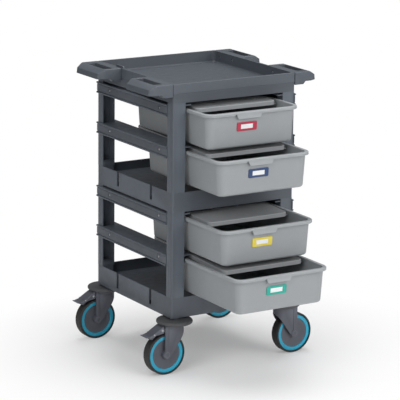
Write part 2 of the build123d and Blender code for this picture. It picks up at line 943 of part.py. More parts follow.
# Frame
middle_floor = middle_top - middle_recess
levels = rail_bottoms()
write("base_platform", base_platform())
write("middle_platform", middle_platform())
write("top_tray", top_tray())
lower_column = column(
    base_top,
    middle_bottom,
    base_recess,
    middle_floor - floor - middle_bottom,
    levels[2:],
)
upper_column = column(
    middle_top,
    tray_bottom,
    middle_recess,
    tray_floor_bottom - tray_bottom,
    levels[:2],
)
write("lower_columns", *corners(lower_column))
write("upper_columns", *corners(upper_column))
write("upper_side_rails", *turned(strip(levels[0])), *turned(strip(levels[1])))
write("lower_side_rails", *turned(strip(levels[2])), *turned(strip(levels[3])))
write("upper_drawer_runners", *both_sides(runner(levels[0])), *both_sides(runner(levels[1])))
write("lower_drawer_runners", *both_sides(runner(levels[2])), *both_sides(runner(levels[3])))
write("rail_screws", *rail_screws())
handle_names = ("handle_rear_right", "handle_rear_left", "handle_front_right", "handle_front_left")
for name, shape in zip(handle_names, corners(handle())):
    write(name, shape)
write("handle_screws", *handle_screws())

# Drawers, labels and lids
for index in range(len(rim_tops)):
    number = index + 1
    back = lid_back[index]
    place = Pos(0, -half_depth - pulled_out[index], rim_tops[index])
    write(f"drawer_{number}", place * drawer_with_ledges(back))
    write(f"label_holder_{number}", place * label_holder())
    write(f"label_card_{number}", place * label_card())
    write(f"lid_{number}", place * Pos(0, back, lid_above_rim) * lid(lid_tilt(back)))

# Castors
stems = []
for label, side_x, side_y in (
    ("front_left", -1, -1),
    ("front_right", 1, -1),
    ("rear_left", -1, 1),
    ("rear_right", 1, 1),
):
    braked = side_x < 0
    write(f"bumper_{label}", in_castor(side_x, side_y, bumper()))
    write(f"fork_{label}", in_castor(side_x, side_y, fork(braked)))
    write(f"axle_{label}", in_castor(side_x, side_y, axle()))
    write(f"hub_{label}", in_castor(side_x, side_y, hub()))
    write(f"ring_{label}", in_castor(side_x, side_y, band(ring_inner, ring_outer, ring_width, ring_edge)))
    tyre = band(ring_outer, wheel_radius, wheel_width, shoulder_radius)
    write(f"tyre_{label}", in_castor(side_x, side_y, tyre))
    if braked:
        write(f"brake_pedal_{label}", in_castor(side_x, side_y, pedal()))
        write(f"pedal_pin_{label}", in_castor(side_x, side_y, pedal_pin()))
    stems.append(in_castor(side_x, side_y, stem()))
write("castor_stems", *stems)
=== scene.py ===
import json
import math

import bmesh
import bpy
from mathutils import Matrix, Vector


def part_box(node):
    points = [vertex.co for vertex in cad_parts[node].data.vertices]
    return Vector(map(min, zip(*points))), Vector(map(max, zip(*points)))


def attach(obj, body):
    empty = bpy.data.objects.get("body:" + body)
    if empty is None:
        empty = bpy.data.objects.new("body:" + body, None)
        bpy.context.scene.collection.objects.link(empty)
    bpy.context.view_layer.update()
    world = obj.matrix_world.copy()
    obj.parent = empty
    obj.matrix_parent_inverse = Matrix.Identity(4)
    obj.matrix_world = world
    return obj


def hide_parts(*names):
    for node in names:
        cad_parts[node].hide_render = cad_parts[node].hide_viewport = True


bl_info = {
    "name": "Service cart",
    "version": (1, 0, 0),
    "blender": (4, 5, 0),
    "location": "3D View > Sidebar > Cart",
    "description": "Builds the looks of a moulded service cart around its fixed frame",
    "category": "Add Mesh",
}

# The frame is loaded first, so that every piece can take its place from it
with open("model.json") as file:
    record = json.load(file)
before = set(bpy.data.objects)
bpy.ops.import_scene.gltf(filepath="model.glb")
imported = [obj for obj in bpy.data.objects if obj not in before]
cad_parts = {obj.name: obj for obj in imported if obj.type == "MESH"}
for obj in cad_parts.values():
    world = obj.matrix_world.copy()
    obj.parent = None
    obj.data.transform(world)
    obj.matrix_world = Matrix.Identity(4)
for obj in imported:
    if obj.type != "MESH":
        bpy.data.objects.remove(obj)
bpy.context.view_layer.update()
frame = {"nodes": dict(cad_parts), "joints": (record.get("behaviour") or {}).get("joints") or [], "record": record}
BASE_LOW, BASE_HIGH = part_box("base_platform")
MIDDLE_LOW, MIDDLE_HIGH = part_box("middle_platform")
TRAY_LOW, TRAY_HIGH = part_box("top_tray")
RIM_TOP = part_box("handle_rear_right")[1].z
HALF_WIDTH = BASE_HIGH.x
HALF_DEPTH = (BASE_HIGH.y - BASE_LOW.y) / 2
CENTRE_Y = (BASE_HIGH.y + BASE_LOW.y) / 2
BODY_PLACE = Matrix.Translation((0, CENTRE_Y, 0))
JOINTS = {joint["name"]: joint for joint in frame["joints"]}
DRAWERS = (1, 2, 3, 4)
CORNERS = {"front_left": (-1, -1), "front_right": (1, -1), "rear_left": (-1, 1), "rear_right": (1, 1)}

# How far a cut runs past the face that it opens
PAST = 0.001

# How far behind a drawer's rim its lid stops
LID_STOP = 0.030

# Each area light's place and width
LIGHTS = {
    "key": ((2.6, -3.4, 2.6), 2.4),
    "front": ((0.6, -4.2, 2.2), 2.4),
    "fill": ((-3.2, -2.0, 2.9), 2.6),
    "top": ((0.3, 0.4, 3.8), 2.8),
}

# How far the floor reaches, how white the camera sees it near and far, and where that change lies
FLOOR_REACH = 30
FLOOR_WHITE = (0.22, 1.0)
FLOOR_FADE = (0.32, 0.92)

# The colour of dust on rubber
DUST = (0.16, 0.145, 0.13)

# Turn below which two edges count as one line, and distance below which two points count as one
FLAT = math.radians(0.4)
SMALLEST = 0.00006


def length(name, default, description):
    """A size in metres, shown in the scene's own unit."""
    return bpy.props.FloatProperty(
        name=name, description=description, default=default, min=0.0, precision=4, unit="LENGTH"
    )


def tint(name, default, description):
    """A linear colour."""
    return bpy.props.FloatVectorProperty(
        name=name, description=description, default=default, size=3, min=0.0, max=1.0, subtype="COLOR"
    )


class CartBody(bpy.types.PropertyGroup):
    """Sizes of the platforms, the tray, the columns and the rails."""

    edge: length("Edge", 0.0009, "Rounding of the moulded edges")
    corner: length("Corner", 0.006, "Rounding of the body's upright corners")
    wall: length("Wall", 0.005, "Thickness of a platform's wall")
    floor: length("Floor", 0.004, "Thickness of a platform's floor")
    rib: length("Rib", 0.004, "Thickness of the ribs under a platform")
    inner_corner: length("Inner corner", 0.004, "Rounding inside a platform's corners")
    base_recess: length("Base recess", 0.0375, "Depth of the base platform above its floor")
    base_slot: length("Base slot", 0.055, "Height of the slots in the base platform's sides")
    middle_recess: length("Middle recess", 0.0304, "Depth of the middle platform above its floor")
    middle_slot: length("Middle slot", 0.050, "Height of the slots in the middle platform's sides")
    slot_offset: length("Slot offset", 0.114, "Distance of a side slot from the middle")
    slot_width: length("Slot width", 0.015, "Width of a side slot")
    slot_shield: length("Slot shield", 0.012, "Distance of the rib that closes the view behind a slot")
    drain_radius: length("Drain radius", 0.004, "Radius of a drain hole")
    drain_x: length("Drain x", 0.167, "Distance of a drain hole from the middle, across")
    drain_y: length("Drain y", 0.036, "Distance of a drain hole from the middle, along")
    socket_width: length("Socket width", 0.033, "Width of the block over a castor")
    socket_depth: length("Socket depth", 0.0274, "Depth of the block over a castor")
    peg_radius: length("Peg radius", 0.0045, "Radius of the pegs under the middle platform's beam")
    peg_drop: length("Peg drop", 0.004, "How far those pegs hang down")
    peg_setback: length("Peg setback", 0.0055, "How far those pegs stand behind the beam's face")
    peg_left: length("Left peg", 0.083, "Distance of the left peg from the middle")
    peg_right: length("Right peg", 0.017, "Distance of the right peg from the middle")
    tray_wall: length("Tray wall", 0.009, "Thickness of the tray's wall")
    tray_step: length("Tray step", 0.001, "How far the tray's band stands proud of its skirt")
    tray_skirt: length("Tray skirt", 0.0327, "Height of the skirt below the band")
    tray_depth: length("Tray depth", 0.041, "Depth of the tray")
    tray_corner: length("Tray corner", 0.014, "Rounding inside the tray's corners")
    tray_cove: length("Tray cove", 0.006, "Rounding where the tray's wall meets its floor")
    tray_edge: length("Tray edge", 0.0015, "Rounding of the tray's top edge")
    lug_length: length("Lug length", 0.05, "Length of the lug on the left rim")
    lug_height: length("Lug height", 0.0075, "Height of the lug")
    lug_thickness: length("Lug thickness", 0.005, "Thickness of the lug")
    lug_y: length("Lug place", 0.106, "Distance of the lug behind the middle")
    lug_setback: length("Lug setback", 0.0025, "How far the lug stands inside the band")
    lug_corner: length("Lug corner", 0.006, "Rounding of the lug's ends")
    column_width: length("Column width", 0.048, "Width of a column across the cart")
    column_depth: length("Column depth", 0.0363, "Depth of a column along the cart")
    column_wall: length("Column wall", 0.004, "Thickness of a column's wall")
    column_edge: length("Column edge", 0.005, "Rounding of a column's outer edge")
    column_grip: length("Column grip", 0.02, "Height of the solid ends of a column")
    groove_offset: length("Groove offset", 0.023, "Distance of the side groove behind the face")
    groove_width: length("Groove width", 0.0016, "Width of the side groove")
    groove_depth: length("Groove depth", 0.001, "Depth of the side groove")
    shelf: length("Shelf", 0.004, "Thickness of the shelves inside a column")
    fit_gap: length("Fit gap", 0.0003, "Clearance between pieces that fit together")
    rail_height: length("Rail height", 0.041, "Height of a rail's strip")
    ledge_level: length("Ledge level", 0.0142, "Height of the ledge over a rail's underside")
    runner_wall: length("Runner wall", 0.003, "Thickness of a runner")
    runner_reach: length("Runner reach", 0.0593, "How far a runner's ledge reaches inwards")
    runner_top_reach: length("Runner top reach", 0.0693, "How far a runner's cover reaches inwards")
    stop_wall: length("Stop wall", 0.003, "Thickness of the drawer's rear stop")
    stop_height: length("Stop height", 0.010, "Height of the drawer's rear stop")
    tongue_length: length("Tongue length", 0.028, "How far a runner's tongue lies in the column")
    strip_wall: length("Strip wall", 0.002, "Thickness of a rail's strip")
    strip_overrun: length("Strip overrun", 0.0017, "How far a strip runs past the column's face")
    bead_height: length("Bead height", 0.0065, "Height of a strip's bead")
    bead_proud: length("Bead proud", 0.003, "How far a bead stands out")
    bead_edge: length("Bead edge", 0.0028, "Rounding of a bead")
    crease: length("Crease", 0.003, "Width of the crease along a bead")
    screw_y: length("Screw place", 0.170, "Distance of a rail screw from the middle")
    screw_up: length("Screw level", 0.022, "Height of a rail screw over the rail's underside")
    screw_radius: length("Screw radius", 0.002, "Radius of a rail screw")
    screw_head: length("Screw head", 0.004, "Radius of a rail screw's head")
    screw_proud: length("Screw proud", 0.0015, "Height of a rail screw's head")
    screw_ring: length("Screw ring", 0.0062, "Radius of the dished ring round a rail screw")
    screw_dish: length("Screw dish", 0.0012, "Depth of the dished ring")
    screw_boss: length("Screw boss", 0.012, "Size of the boss that a rail screw holds in")
    screw_boss_depth: length("Screw boss depth", 0.007, "Depth of that boss")
    handle_length: length("Handle length", 0.170, "Length of a handle")
    handle_height: length("Handle height", 0.0434, "Height of a handle's foot")
    handle_reach: length("Handle reach", 0.0907, "How far a handle reaches out")
    handle_foot: length("Handle foot", 0.0357, "How far a handle's foot reaches out")
    handle_undercut: length("Handle undercut", 0.0447, "Where the underside of the grip starts")
    grip_height: length("Grip height", 0.0334, "Height of the grip")
    crest_reach: length("Crest reach", 0.0617, "Where the flat top of the grip ends")
    shoulder_reach: length("Shoulder reach", 0.0877, "Where the grip's slope ends")
    shoulder_drop: length("Shoulder drop", 0.0144, "How far the grip's slope falls")
    hand_slot_from: length("Hand slot start", 0.0267, "Where the hand slot starts")
    hand_slot_width: length("Hand slot width", 0.033, "Width of the hand slot")
    hand_slot_corner: length("Hand slot corner", 0.007, "Rounding of the hand slot's corners")
    end_bar: length("End bar", 0.028, "Width of the bar at the cart's end")
    middle_bar: length("Middle bar", 0.016, "Width of the bar at the cart's middle")
    facet_x: length("Facet across", 0.024, "Size of a handle's facet, across")
    facet_y: length("Facet along", 0.012, "Size of a handle's facet, along")
    handle_edge: length("Handle edge", 0.0022, "Rounding of a handle's edges")
    fastener_radius: length("Fastener radius", 0.00175, "Radius of a handle screw")
    fastener_head: length("Fastener head", 0.005, "Radius of a handle screw's head")
    fastener_sink: length("Fastener sink", 0.0024, "Depth of the recess for its head")
    fastener_length: length("Fastener length", 0.018, "Length of a handle screw")
    fastener_drop: length("Fastener drop", 0.018, "Distance of a handle screw below the rim")
    fastener_spacing: length("Fastener spacing", 0.085, "Distance between a handle's screws")


class CartDrawer(bpy.types.PropertyGroup):
    """Sizes of the drawers, their labels and their lids."""

    edge: length("Edge", 0.0007, "Rounding of the small edges")
    height: length("Height", 0.123, "Height of a drawer")
    wall: length("Wall", 0.0035, "Thickness of a drawer's wall")
    draft: length("Draft", 0.0079, "How far a drawer's wall leans in over its height")
    bottom_radius: length("Bottom radius", 0.010, "Rounding of a drawer's bottom edge")
    inner_radius: length("Inner radius", 0.008, "Rounding inside a drawer's bottom edge")
    rim_radius: length("Rim radius", 0.040, "Corner radius of the rim, seen from above")
    overhang: length("Overhang", 0.0101, "How far the rim stands out over the wall")
    rim_height: length("Rim height", 0.0105, "Height of the rim")
    rim_wall: length("Rim wall", 0.003, "Thickness of the rim's skirt")
    rim_edge: length("Rim edge", 0.004, "Rounding of the rim's outer edge")
    rim_inner_edge: length("Rim inner edge", 0.002, "Rounding of the rim's inner edge")
    foot_inset: length("Foot inset", 0.011, "Width of the raised border under a drawer")
    foot_recess: length("Foot recess", 0.0008, "Depth of the recess under a drawer")
    fittings_x: length("Fittings offset", 0.023, "How far left of the middle the pull and the label sit")
    pull_width: length("Pull width", 0.104, "Width of the pull at the rim")
    pull_drop: length("Pull drop", 0.013, "How far the pull hangs below the rim")
    pull_slant: length("Pull slant", 0.007, "How far the pull's ends slant in")
    notch_width: length("Notch width", 0.006, "Width of the notch at the pull's left end")
    notch_rise: length("Notch rise", 0.0035, "Height of that notch")
    nub_offset: length("Nub offset", 0.128, "Distance of a side nub from the drawer's end")
    nub_radius: length("Nub radius", 0.004, "Radius of a side nub")
    nub_proud: length("Nub proud", 0.002, "How far a nub stands out")
    label_width: length("Label width", 0.078, "Width of a label frame")
    label_height: length("Label height", 0.030, "Height of a label frame")
    label_thickness: length("Label thickness", 0.0025, "Thickness of a label frame")
    label_corner: length("Label corner", 0.004, "Corner radius of a label frame")
    label_edge: length("Label edge", 0.0006, "Rounding of a label frame's edges")
    label_drop: length("Label drop", 0.052, "Distance of the label's middle below the rim")
    card_width: length("Card width", 0.047, "Width of a label card")
    card_height: length("Card height", 0.015, "Height of a label card")
    card_thickness: length("Card thickness", 0.0008, "Thickness of a label card")
    card_recess: length("Card recess", 0.0014, "Depth of the window for the card")
    card_play: length("Card play", 0.0003, "Clearance round the card")
    lid_width: length("Lid width", 0.316, "Width of a lid")
    lid_length: length("Lid length", 0.470, "Length of a lid")
    lid_lip: length("Lid lip", 0.015, "Height of a lid's edge")
    lid_wall: length("Lid wall", 0.003, "Thickness of a lid")
    lid_corner: length("Lid corner", 0.018, "Corner radius of a lid")
    lid_edge: length("Lid edge", 0.0028, "Rounding of a lid's top edge")
    lid_above: length("Lid above rim", 0.002, "Height of a lid's front edge over the rim")
    lid_play: length("Lid play", 0.00035, "Clearance under a lid")
    lid_hole_x: length("Lid hole across", 0.098, "Place of the hole in a lid, across")
    lid_hole_back: length("Lid hole along", 0.044, "Place of the hole in a lid, along")
    lid_hole_radius: length("Lid hole radius", 0.004, "Radius of the hole in a lid")
    ledge_overlap: length("Ledge overlap", 0.004, "How far a ledge reaches under its lid")
    ledge_thickness: length("Ledge thickness", 0.003, "Thickness of a ledge")
    ledge_setback: length("Ledge setback", 0.024, "How far behind the lid's front a ledge starts")


class CartCastor(bpy.types.PropertyGroup):
    """Sizes of the castors, their wheels, brakes and bumpers."""

    edge: length("Edge", 0.0008, "Rounding of the moulded edges")
    wheel_width: length("Wheel width", 0.038, "Width of a wheel")
    tyre: length("Tyre", 0.007, "Thickness of a tyre")
    shoulder: length("Shoulder", 0.006, "Rounding of a tyre's shoulders")
    ring: length("Ring", 0.013, "Thickness of the coloured ring")
    ring_width: length("Ring width", 0.031, "Width of the coloured ring")
    ring_edge: length("Ring edge", 0.0015, "Rounding of the coloured ring")
    hub_width: length("Hub width", 0.026, "Width of a hub")
    hub_rim: length("Hub rim", 0.007, "Width of the hub's outer border")
    hub_recess: length("Hub recess", 0.0015, "Depth of the dish in a hub")
    boss_radius: length("Boss radius", 0.014, "Radius of a hub's boss")
    side_gap: length("Side gap", 0.0015, "Gap between a wheel and its fork")
    fork_wall: length("Fork wall", 0.003, "Thickness of a fork's leg")
    fork_lead: length("Fork lead", 0.034, "How far a fork reaches in front of its swivel")
    fork_rear: length("Fork rear", 0.009, "How far a fork reaches behind the axle")
    fork_end: length("Fork end", 0.016, "Radius of a leg's rounded end")
    fork_visor: length("Fork visor", 0.0255, "Height of the fork's front")
    crown: length("Crown", 0.022, "Thickness of a fork's crown")
    crown_gap: length("Crown gap", 0.008, "Gap between the wheel and the crown")
    crown_edge: length("Crown edge", 0.004, "Rounding of the crown")
    ridge_width: length("Ridge width", 0.013, "Width of the ridge on a leg")
    ridge_proud: length("Ridge proud", 0.0014, "How far the ridge stands out")
    axle_radius: length("Axle radius", 0.005, "Radius of an axle")
    axle_head: length("Axle head", 0.009, "Radius of an axle's head")
    axle_proud: length("Axle proud", 0.0025, "Height of an axle's head")
    stem_radius: length("Stem radius", 0.006, "Radius of a castor's stem")
    pin_out: length("Pin out", 0.019, "Distance of the pedal's pin behind the axle")
    pin_up: length("Pin up", 0.0873, "Height of the pedal's pin over the axle")
    pin_radius: length("Pin radius", 0.003, "Radius of the pedal's pin")
    pin_head: length("Pin head", 0.0045, "Radius of the pin's head")
    pin_proud: length("Pin proud", 0.0015, "Height of the pin's head")
    pedal_wall: length("Pedal wall", 0.0025, "Thickness of the pedal's sides")
    pedal_top: length("Pedal top", 0.003, "Thickness of the pedal's top")
    pedal_play: length("Pedal play", 0.0003, "Clearance beside the pedal")
    pedal_below: length("Pedal below crown", 0.001, "How far the hood's top lies below the crown's")
    pedal_start: length("Pedal start", 0.0135, "Where the hood starts behind the axle")
    pedal_start_drop: length("Pedal start drop", 0.024, "Height of the hood's sides where it starts")
    pedal_curve: length("Pedal curve", 0.035, "Place of a point halfway down the hood's curve")
    pedal_curve_drop: length("Pedal curve drop", 0.0125, "How far that point lies below the top")
    pedal_foot: length("Pedal foot", 0.0568, "Where the hood's curve ends")
    pedal_foot_drop: length("Pedal foot drop", 0.026, "How far the curve's end lies below the top")
    pedal_reach: length("Pedal reach", 0.0718, "Where the hood ends behind the axle")
    pedal_reach_drop: length("Pedal reach drop", 0.030, "How far the hood's end lies below the top")
    pedal_front_drop: length("Pedal front drop", 0.0385, "How far the hood's front hangs below the top")
    pedal_waist: length("Pedal waist", 0.0419, "Where the sides' lower edge turns")
    pedal_waist_drop: length("Pedal waist drop", 0.028, "How far that turn lies below the top")
    pedal_round: length("Pedal rounding", 0.0035, "Rounding along the hood's upper edges")
    lip: length("Lip", 0.010, "How far the foot lip reaches")
    lip_width: length("Lip width", 0.040, "Width of the foot lip")
    lip_wall: length("Lip wall", 0.0026, "Thickness of the foot lip's end")
    lip_root: length("Lip root", 0.0051, "Thickness of the foot lip's root")
    lip_step: length("Lip step", 0.0005, "How far the lip's root lies below the hood's end")
    ear_wall: length("Ear wall", 0.003, "Thickness of the fork's ears")
    ear_radius: length("Ear radius", 0.005, "Radius of the fork's ears")
    pad_gap: length("Pad gap", 0.0055, "Gap between the brake pad and the tyre")
    pad_out: length("Pad out", 0.043, "Where the brake pad starts behind the axle")
    pad_length: length("Pad length", 0.011, "Length of the brake pad")
    pad_width: length("Pad width", 0.024, "Width of the brake pad")
    rivet_out: length("Rivet out", 0.051, "Distance of the pedal's rivet behind the axle")
    rivet_up: length("Rivet up", 0.0758, "Height of the pedal's rivet over the axle")
    rivet_radius: length("Rivet radius", 0.0022, "Radius of the pedal's rivet")
    rivet_head: length("Rivet head", 0.003, "Radius of the rivet's head")
    bumper_radius: length("Bumper radius", 0.0625, "Radius of a bumper")
    bumper_height: length("Bumper height", 0.013, "Thickness of a bumper")
    bumper_edge: length("Bumper edge", 0.006, "Rounding of a bumper")
    bumper_hub: length("Bumper hub", 0.0155, "Radius of a bumper's hub")


class CartColours(bpy.types.PropertyGroup):
    """Colours of the cart and the floor."""

    body: tint("Body", (0.067, 0.078, 0.094), "Moulded frame")
    drawer: tint("Drawer", (0.295, 0.312, 0.324), "Drawers")
    lid: tint("Lid", (0.262, 0.273, 0.284), "Lids")
    bumper: tint("Bumper", (0.060, 0.064, 0.070), "Bumpers")
    castor: tint("Castor", (0.080, 0.084, 0.104), "Forks, hubs and pedals")
    ring: tint("Ring", (0.012, 0.345, 0.520), "Ring of a wheel")
    tyre: tint("Tyre", (0.016, 0.015, 0.016), "Tyres")
    steel: tint("Steel", (0.450, 0.460, 0.480), "Screws, pins and axles")
    card: tint("Card", (0.800, 0.810, 0.820), "Label cards")
    label_1: tint("Label 1", (0.420, 0.014, 0.050), "Label frame of the top drawer")
    label_2: tint("Label 2", (0.012, 0.045, 0.150), "Label frame of the second drawer")
    label_3: tint("Label 3", (0.720, 0.580, 0.050), "Label frame of the third drawer")
    label_4: tint("Label 4", (0.005, 0.370, 0.290), "Label frame of the lowest drawer")
    floor: tint("Floor", (0.920, 0.920, 0.920), "Floor")


class CartStage(bpy.types.PropertyGroup):
    """The camera and the lights."""

    azimuth: bpy.props.FloatProperty(
        name="Azimuth", description="Camera's turn to the left", default=math.radians(31.58), subtype="ANGLE"
    )
    elevation: bpy.props.FloatProperty(
        name="Elevation", description="Camera's height angle", default=math.radians(13.49), subtype="ANGLE"
    )
    roll: bpy.props.FloatProperty(
        name="Roll", description="Camera's roll", default=math.radians(0.67), subtype="ANGLE"
    )
    distance: length("Distance", 7.8432, "Camera's distance from its target")
    target_x: length("Target x", 0.02563, "Target's place across")
    target_z: length("Target z", 0.52368, "Target's height")
    lens: bpy.props.FloatProperty(
        name="Lens", description="Focal length", default=201.2, unit="CAMERA"
    )
    key: bpy.props.FloatProperty(name="Key light", description="Power of the right light", default=46.0)
    front: bpy.props.FloatProperty(name="Front light", description="Power of the front light", default=71.0)
    fill: bpy.props.FloatProperty(name="Fill light", description="Power of the left light", default=70.0)
    top: bpy.props.FloatProperty(name="Top light", description="Power of the overhead light", default=94.0)
    ambient: bpy.props.FloatProperty(name="Ambient", description="Strength of the world", default=0.16)


# Shapes


def cuboid(low, high):
    """A closed block between two corners."""
    shape = bmesh.new()
    bmesh.ops.create_cube(shape, size=1)
    low = Vector(low)
    high = Vector(high)
    bmesh.ops.scale(shape, vec=high - low, verts=shape.verts)
    bmesh.ops.translate(shape, vec=(low + high) / 2, verts=shape.verts)
    return shape


def edges_along(shape, axis):
    """The edges that run along an axis: 0 for X, 1 for Y and 2 for Z."""
    found = []
    for edge in shape.edges:
        run = edge.verts[1].co - edge.verts[0].co
        if abs(run[axis]) > 0.999 * run.length:
            found.append(edge)
    return found


def round_edges(shape, edges, radius, segments):
    """Rounds some edges of a shape."""
    bmesh.ops.bevel(
        shape,
        geom=edges,
        offset=radius,
        offset_type="OFFSET",
        segments=segments,
        profile=0.5,
        affect="EDGES",
        material=-1,
        clamp_overlap=True,
    )


def slab(width, depth, low, high, radius, segments=8):
    """An upright block about the Z axis with rounded upright edges."""
    shape = cuboid((-width / 2, -depth / 2, low), (width / 2, depth / 2, high))
    round_edges(shape, edges_along(shape, 2), radius, segments)
    return shape


def end_face(shape, direction):
    """The face whose middle lies furthest in a direction."""
    direction = Vector(direction)
    return max(shape.faces, key=lambda face: face.calc_center_median().dot(direction))


def stack(shape, face, steps):
    """Insets a face and moves it outwards, for one (inset, rise) step after another."""
    for inset, rise in steps:
        bmesh.ops.inset_region(shape, faces=[face], thickness=inset, depth=rise, use_even_offset=True)
    return face


def turn_in(radius, sense, segments=4):
    """Steps from an upright side to a level face, rising for sense 1 and sinking for -1."""
    steps = []
    for index in range(segments):
        start = math.pi / 2 * index / segments
        end = math.pi / 2 * (index + 1) / segments
        inset = radius * (math.cos(start) - math.cos(end))
        steps.append((inset, sense * radius * (math.sin(end) - math.sin(start))))
    return steps


def turn_down(radius, segments=3):
    """Steps from a level face down to an upright inner side."""
    steps = []
    for index in range(segments):
        start = math.pi / 2 * index / segments
        end = math.pi / 2 * (index + 1) / segments
        inset = radius * (math.sin(end) - math.sin(start))
        steps.append((inset, -radius * (math.cos(start) - math.cos(end))))
    return steps


def rod(start, end, radius, segments=32):
    """A round bar between two points."""
    start = Vector(start)
    path = Vector(end) - start
    shape = bmesh.new()
    bmesh.ops.create_cone(
        shape, cap_ends=True, segments=segments, radius1=radius, radius2=radius, depth=path.length
    )
    turn = Vector((0, 0, 1)).rotation_difference(path).to_matrix().to_4x4()
    place = Matrix.Translation(start + path / 2) @ turn
    bmesh.ops.transform(shape, matrix=place, verts=shape.verts)
    return shape


def prism(points, sweep):
    """A closed solid swept straight from a flat outline."""
    shape = bmesh.new()
    face = shape.faces.new([shape.verts.new(point) for point in points])
    made = bmesh.ops.extrude_face_region(shape, geom=[face])
    moved = [item for item in made["geom"] if isinstance(item, bmesh.types.BMVert)]
    bmesh.ops.translate(shape, vec=sweep, verts=moved)
    bmesh.ops.recalc_face_normals(shape, faces=shape.faces)
    return shape


def side_prism(points, half):
    """A prism along Y, as wide to both sides, from an outline of (x, z) points."""
    return prism([(x, -half, z) for x, z in points], (0, 2 * half, 0))


def lathe(profile, centre, axis, steps=72):
    """A round solid spun from (radius, height along the axis) points."""
    centre = Vector(centre)
    axis = Vector(axis)
    across = axis.orthogonal().normalized()
    shape = bmesh.new()
    verts = [shape.verts.new(centre + across * radius + axis * height) for radius, height in profile]
    chain = list(zip(verts, verts[1:]))
    if min(radius for radius, height in profile) > 0:
        chain.append((verts[-1], verts[0]))
    edges = [shape.edges.new(pair) for pair in chain]
    bmesh.ops.spin(
        shape, geom=verts + edges, cent=centre, axis=axis, angle=2 * math.pi, steps=steps, use_merge=True
    )
    bmesh.ops.remove_doubles(shape, verts=shape.verts, dist=1e-6)
    bmesh.ops.recalc_face_normals(shape, faces=shape.faces)
    return shape


def arc(centre, radius, start, end, segments):
    """Points on an arc between two angles in radians."""
    angles = [start + (end - start) * index / segments for index in range(segments + 1)]
    return [(centre[0] + radius * math.cos(a), centre[1] + radius * math.sin(a)) for a in angles]


def moved(shape, matrix):
    """The shape, moved by a matrix that may also mirror it."""
    bmesh.ops.transform(shape, matrix=matrix, verts=shape.verts)
    if matrix.determinant() < 0:
        bmesh.ops.reverse_faces(shape, faces=shape.faces)
    return shape


def join(shapes):
    """One shape made of several closed ones, left apart."""
    whole = bmesh.new()
    for shape in shapes:
        mesh = bpy.data.meshes.new("shape")
        shape.to_mesh(mesh)
        shape.free()
        whole.from_mesh(mesh)
        bpy.data.meshes.remove(mesh)
    return whole


def drop_straight_points(shape):
    """Takes out the points that lie along a straight edge."""
    found = []
    for vert in shape.verts:
        if len(vert.link_edges) == 2:
            first, second = [edge.other_vert(vert).co - vert.co for edge in vert.link_edges]
            if first.angle(second) > math.pi - FLAT:
                found.append(vert)
    bmesh.ops.dissolve_verts(shape, verts=found)


def combine(shape, others, operation):
    """Cuts other closed shapes from this one, fuses them on or keeps what they share."""
    objects = []
    for solid in (shape, join(others)):
        mesh = bpy.data.meshes.new("solid")
        solid.to_mesh(mesh)
        solid.free()
        thing = bpy.data.objects.new("solid", mesh)
        bpy.context.scene.collection.objects.link(thing)
        objects.append(thing)
    modifier = objects[0].modifiers.new("combine", "BOOLEAN")
    modifier.object = objects[1]
    modifier.operation = operation
    modifier.solver = "EXACT"
    modifier.use_self = len(others) > 1
    result = bmesh.new()
    result.from_object(objects[0], bpy.context.evaluated_depsgraph_get())
    for thing in objects:
        mesh = thing.data
        bpy.data.objects.remove(thing)
        bpy.data.meshes.remove(mesh)
    bmesh.ops.remove_doubles(result, verts=result.verts, dist=SMALLEST)
    drop_straight_points(result)
    return result


def carve(shape, *others):
    """Cuts other shapes from this one."""
    return combine(shape, others, "DIFFERENCE")


def fuse(shape, *others):
    """Fuses other shapes to this one."""
    return combine(shape, others, "UNION")


def four_corners(shape):
    """The shape of the right rear corner and its mirror images at the other corners."""
    shapes = []
    for side_x, side_y in CORNERS.values():
        shapes.append(moved(shape.copy(), Matrix.Diagonal((side_x, side_y, 1, 1))))
    shape.free()
    return shapes


def piece(name, shape, body, slot, replaces, edge, segments=3, place=BODY_PLACE):
    """Makes a finished piece of a shape, which stands for its frame nodes and rides on their body."""
    bmesh.ops.transform(shape, matrix=place, verts=shape.verts)
    mesh = bpy.data.meshes.new(name)
    shape.to_mesh(mesh)
    shape.free()
    mesh.shade_smooth()
    mesh.set_sharp_from_angle(angle=math.radians(40))
    thing = bpy.data.objects.new(name, mesh)
    bpy.context.scene.collection.objects.link(thing)
    mesh.materials.append(finish(slot))
    if edge:
        bevel = thing.modifiers.new("edges", "BEVEL")
        bevel.width = edge
        bevel.segments = segments
        bevel.limit_method = "ANGLE"
        bevel.angle_limit = math.radians(35)
        bevel.use_clamp_overlap = True
    normals = thing.modifiers.new("normals", "WEIGHTED_NORMAL")
    normals.keep_sharp = True
    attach(thing, body)
    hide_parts(*replaces)
    return thing


# Finishes


def shader(name, roughness, metallic=0.0, coat=0.0):
    """A new material, its tree and its shader, with object coordinates ready."""
    material = bpy.data.materials.new(name)
    material.use_nodes = True
    tree = material.node_tree
    surface = tree.nodes["Principled BSDF"]
    surface.inputs["Roughness"].default_value = roughness
    surface.inputs["Metallic"].default_value = metallic
    surface.inputs["Coat Weight"].default_value = coat
    coordinates = tree.nodes.new("ShaderNodeTexCoord").outputs["Object"]
    return material, tree, surface, coordinates


def noise(tree, coordinates, scale, detail=2.0, stretch=(1, 1, 1)):
    """A noise pattern on the object's coordinates."""
    mapping = tree.nodes.new("ShaderNodeMapping")
    mapping.inputs["Scale"].default_value = stretch
    tree.links.new(coordinates, mapping.inputs["Vector"])
    node = tree.nodes.new("ShaderNodeTexNoise")
    node.inputs["Scale"].default_value = scale
    node.inputs["Detail"].default_value = detail
    tree.links.new(mapping.outputs["Vector"], node.inputs["Vector"])
    return node.outputs["Fac"]


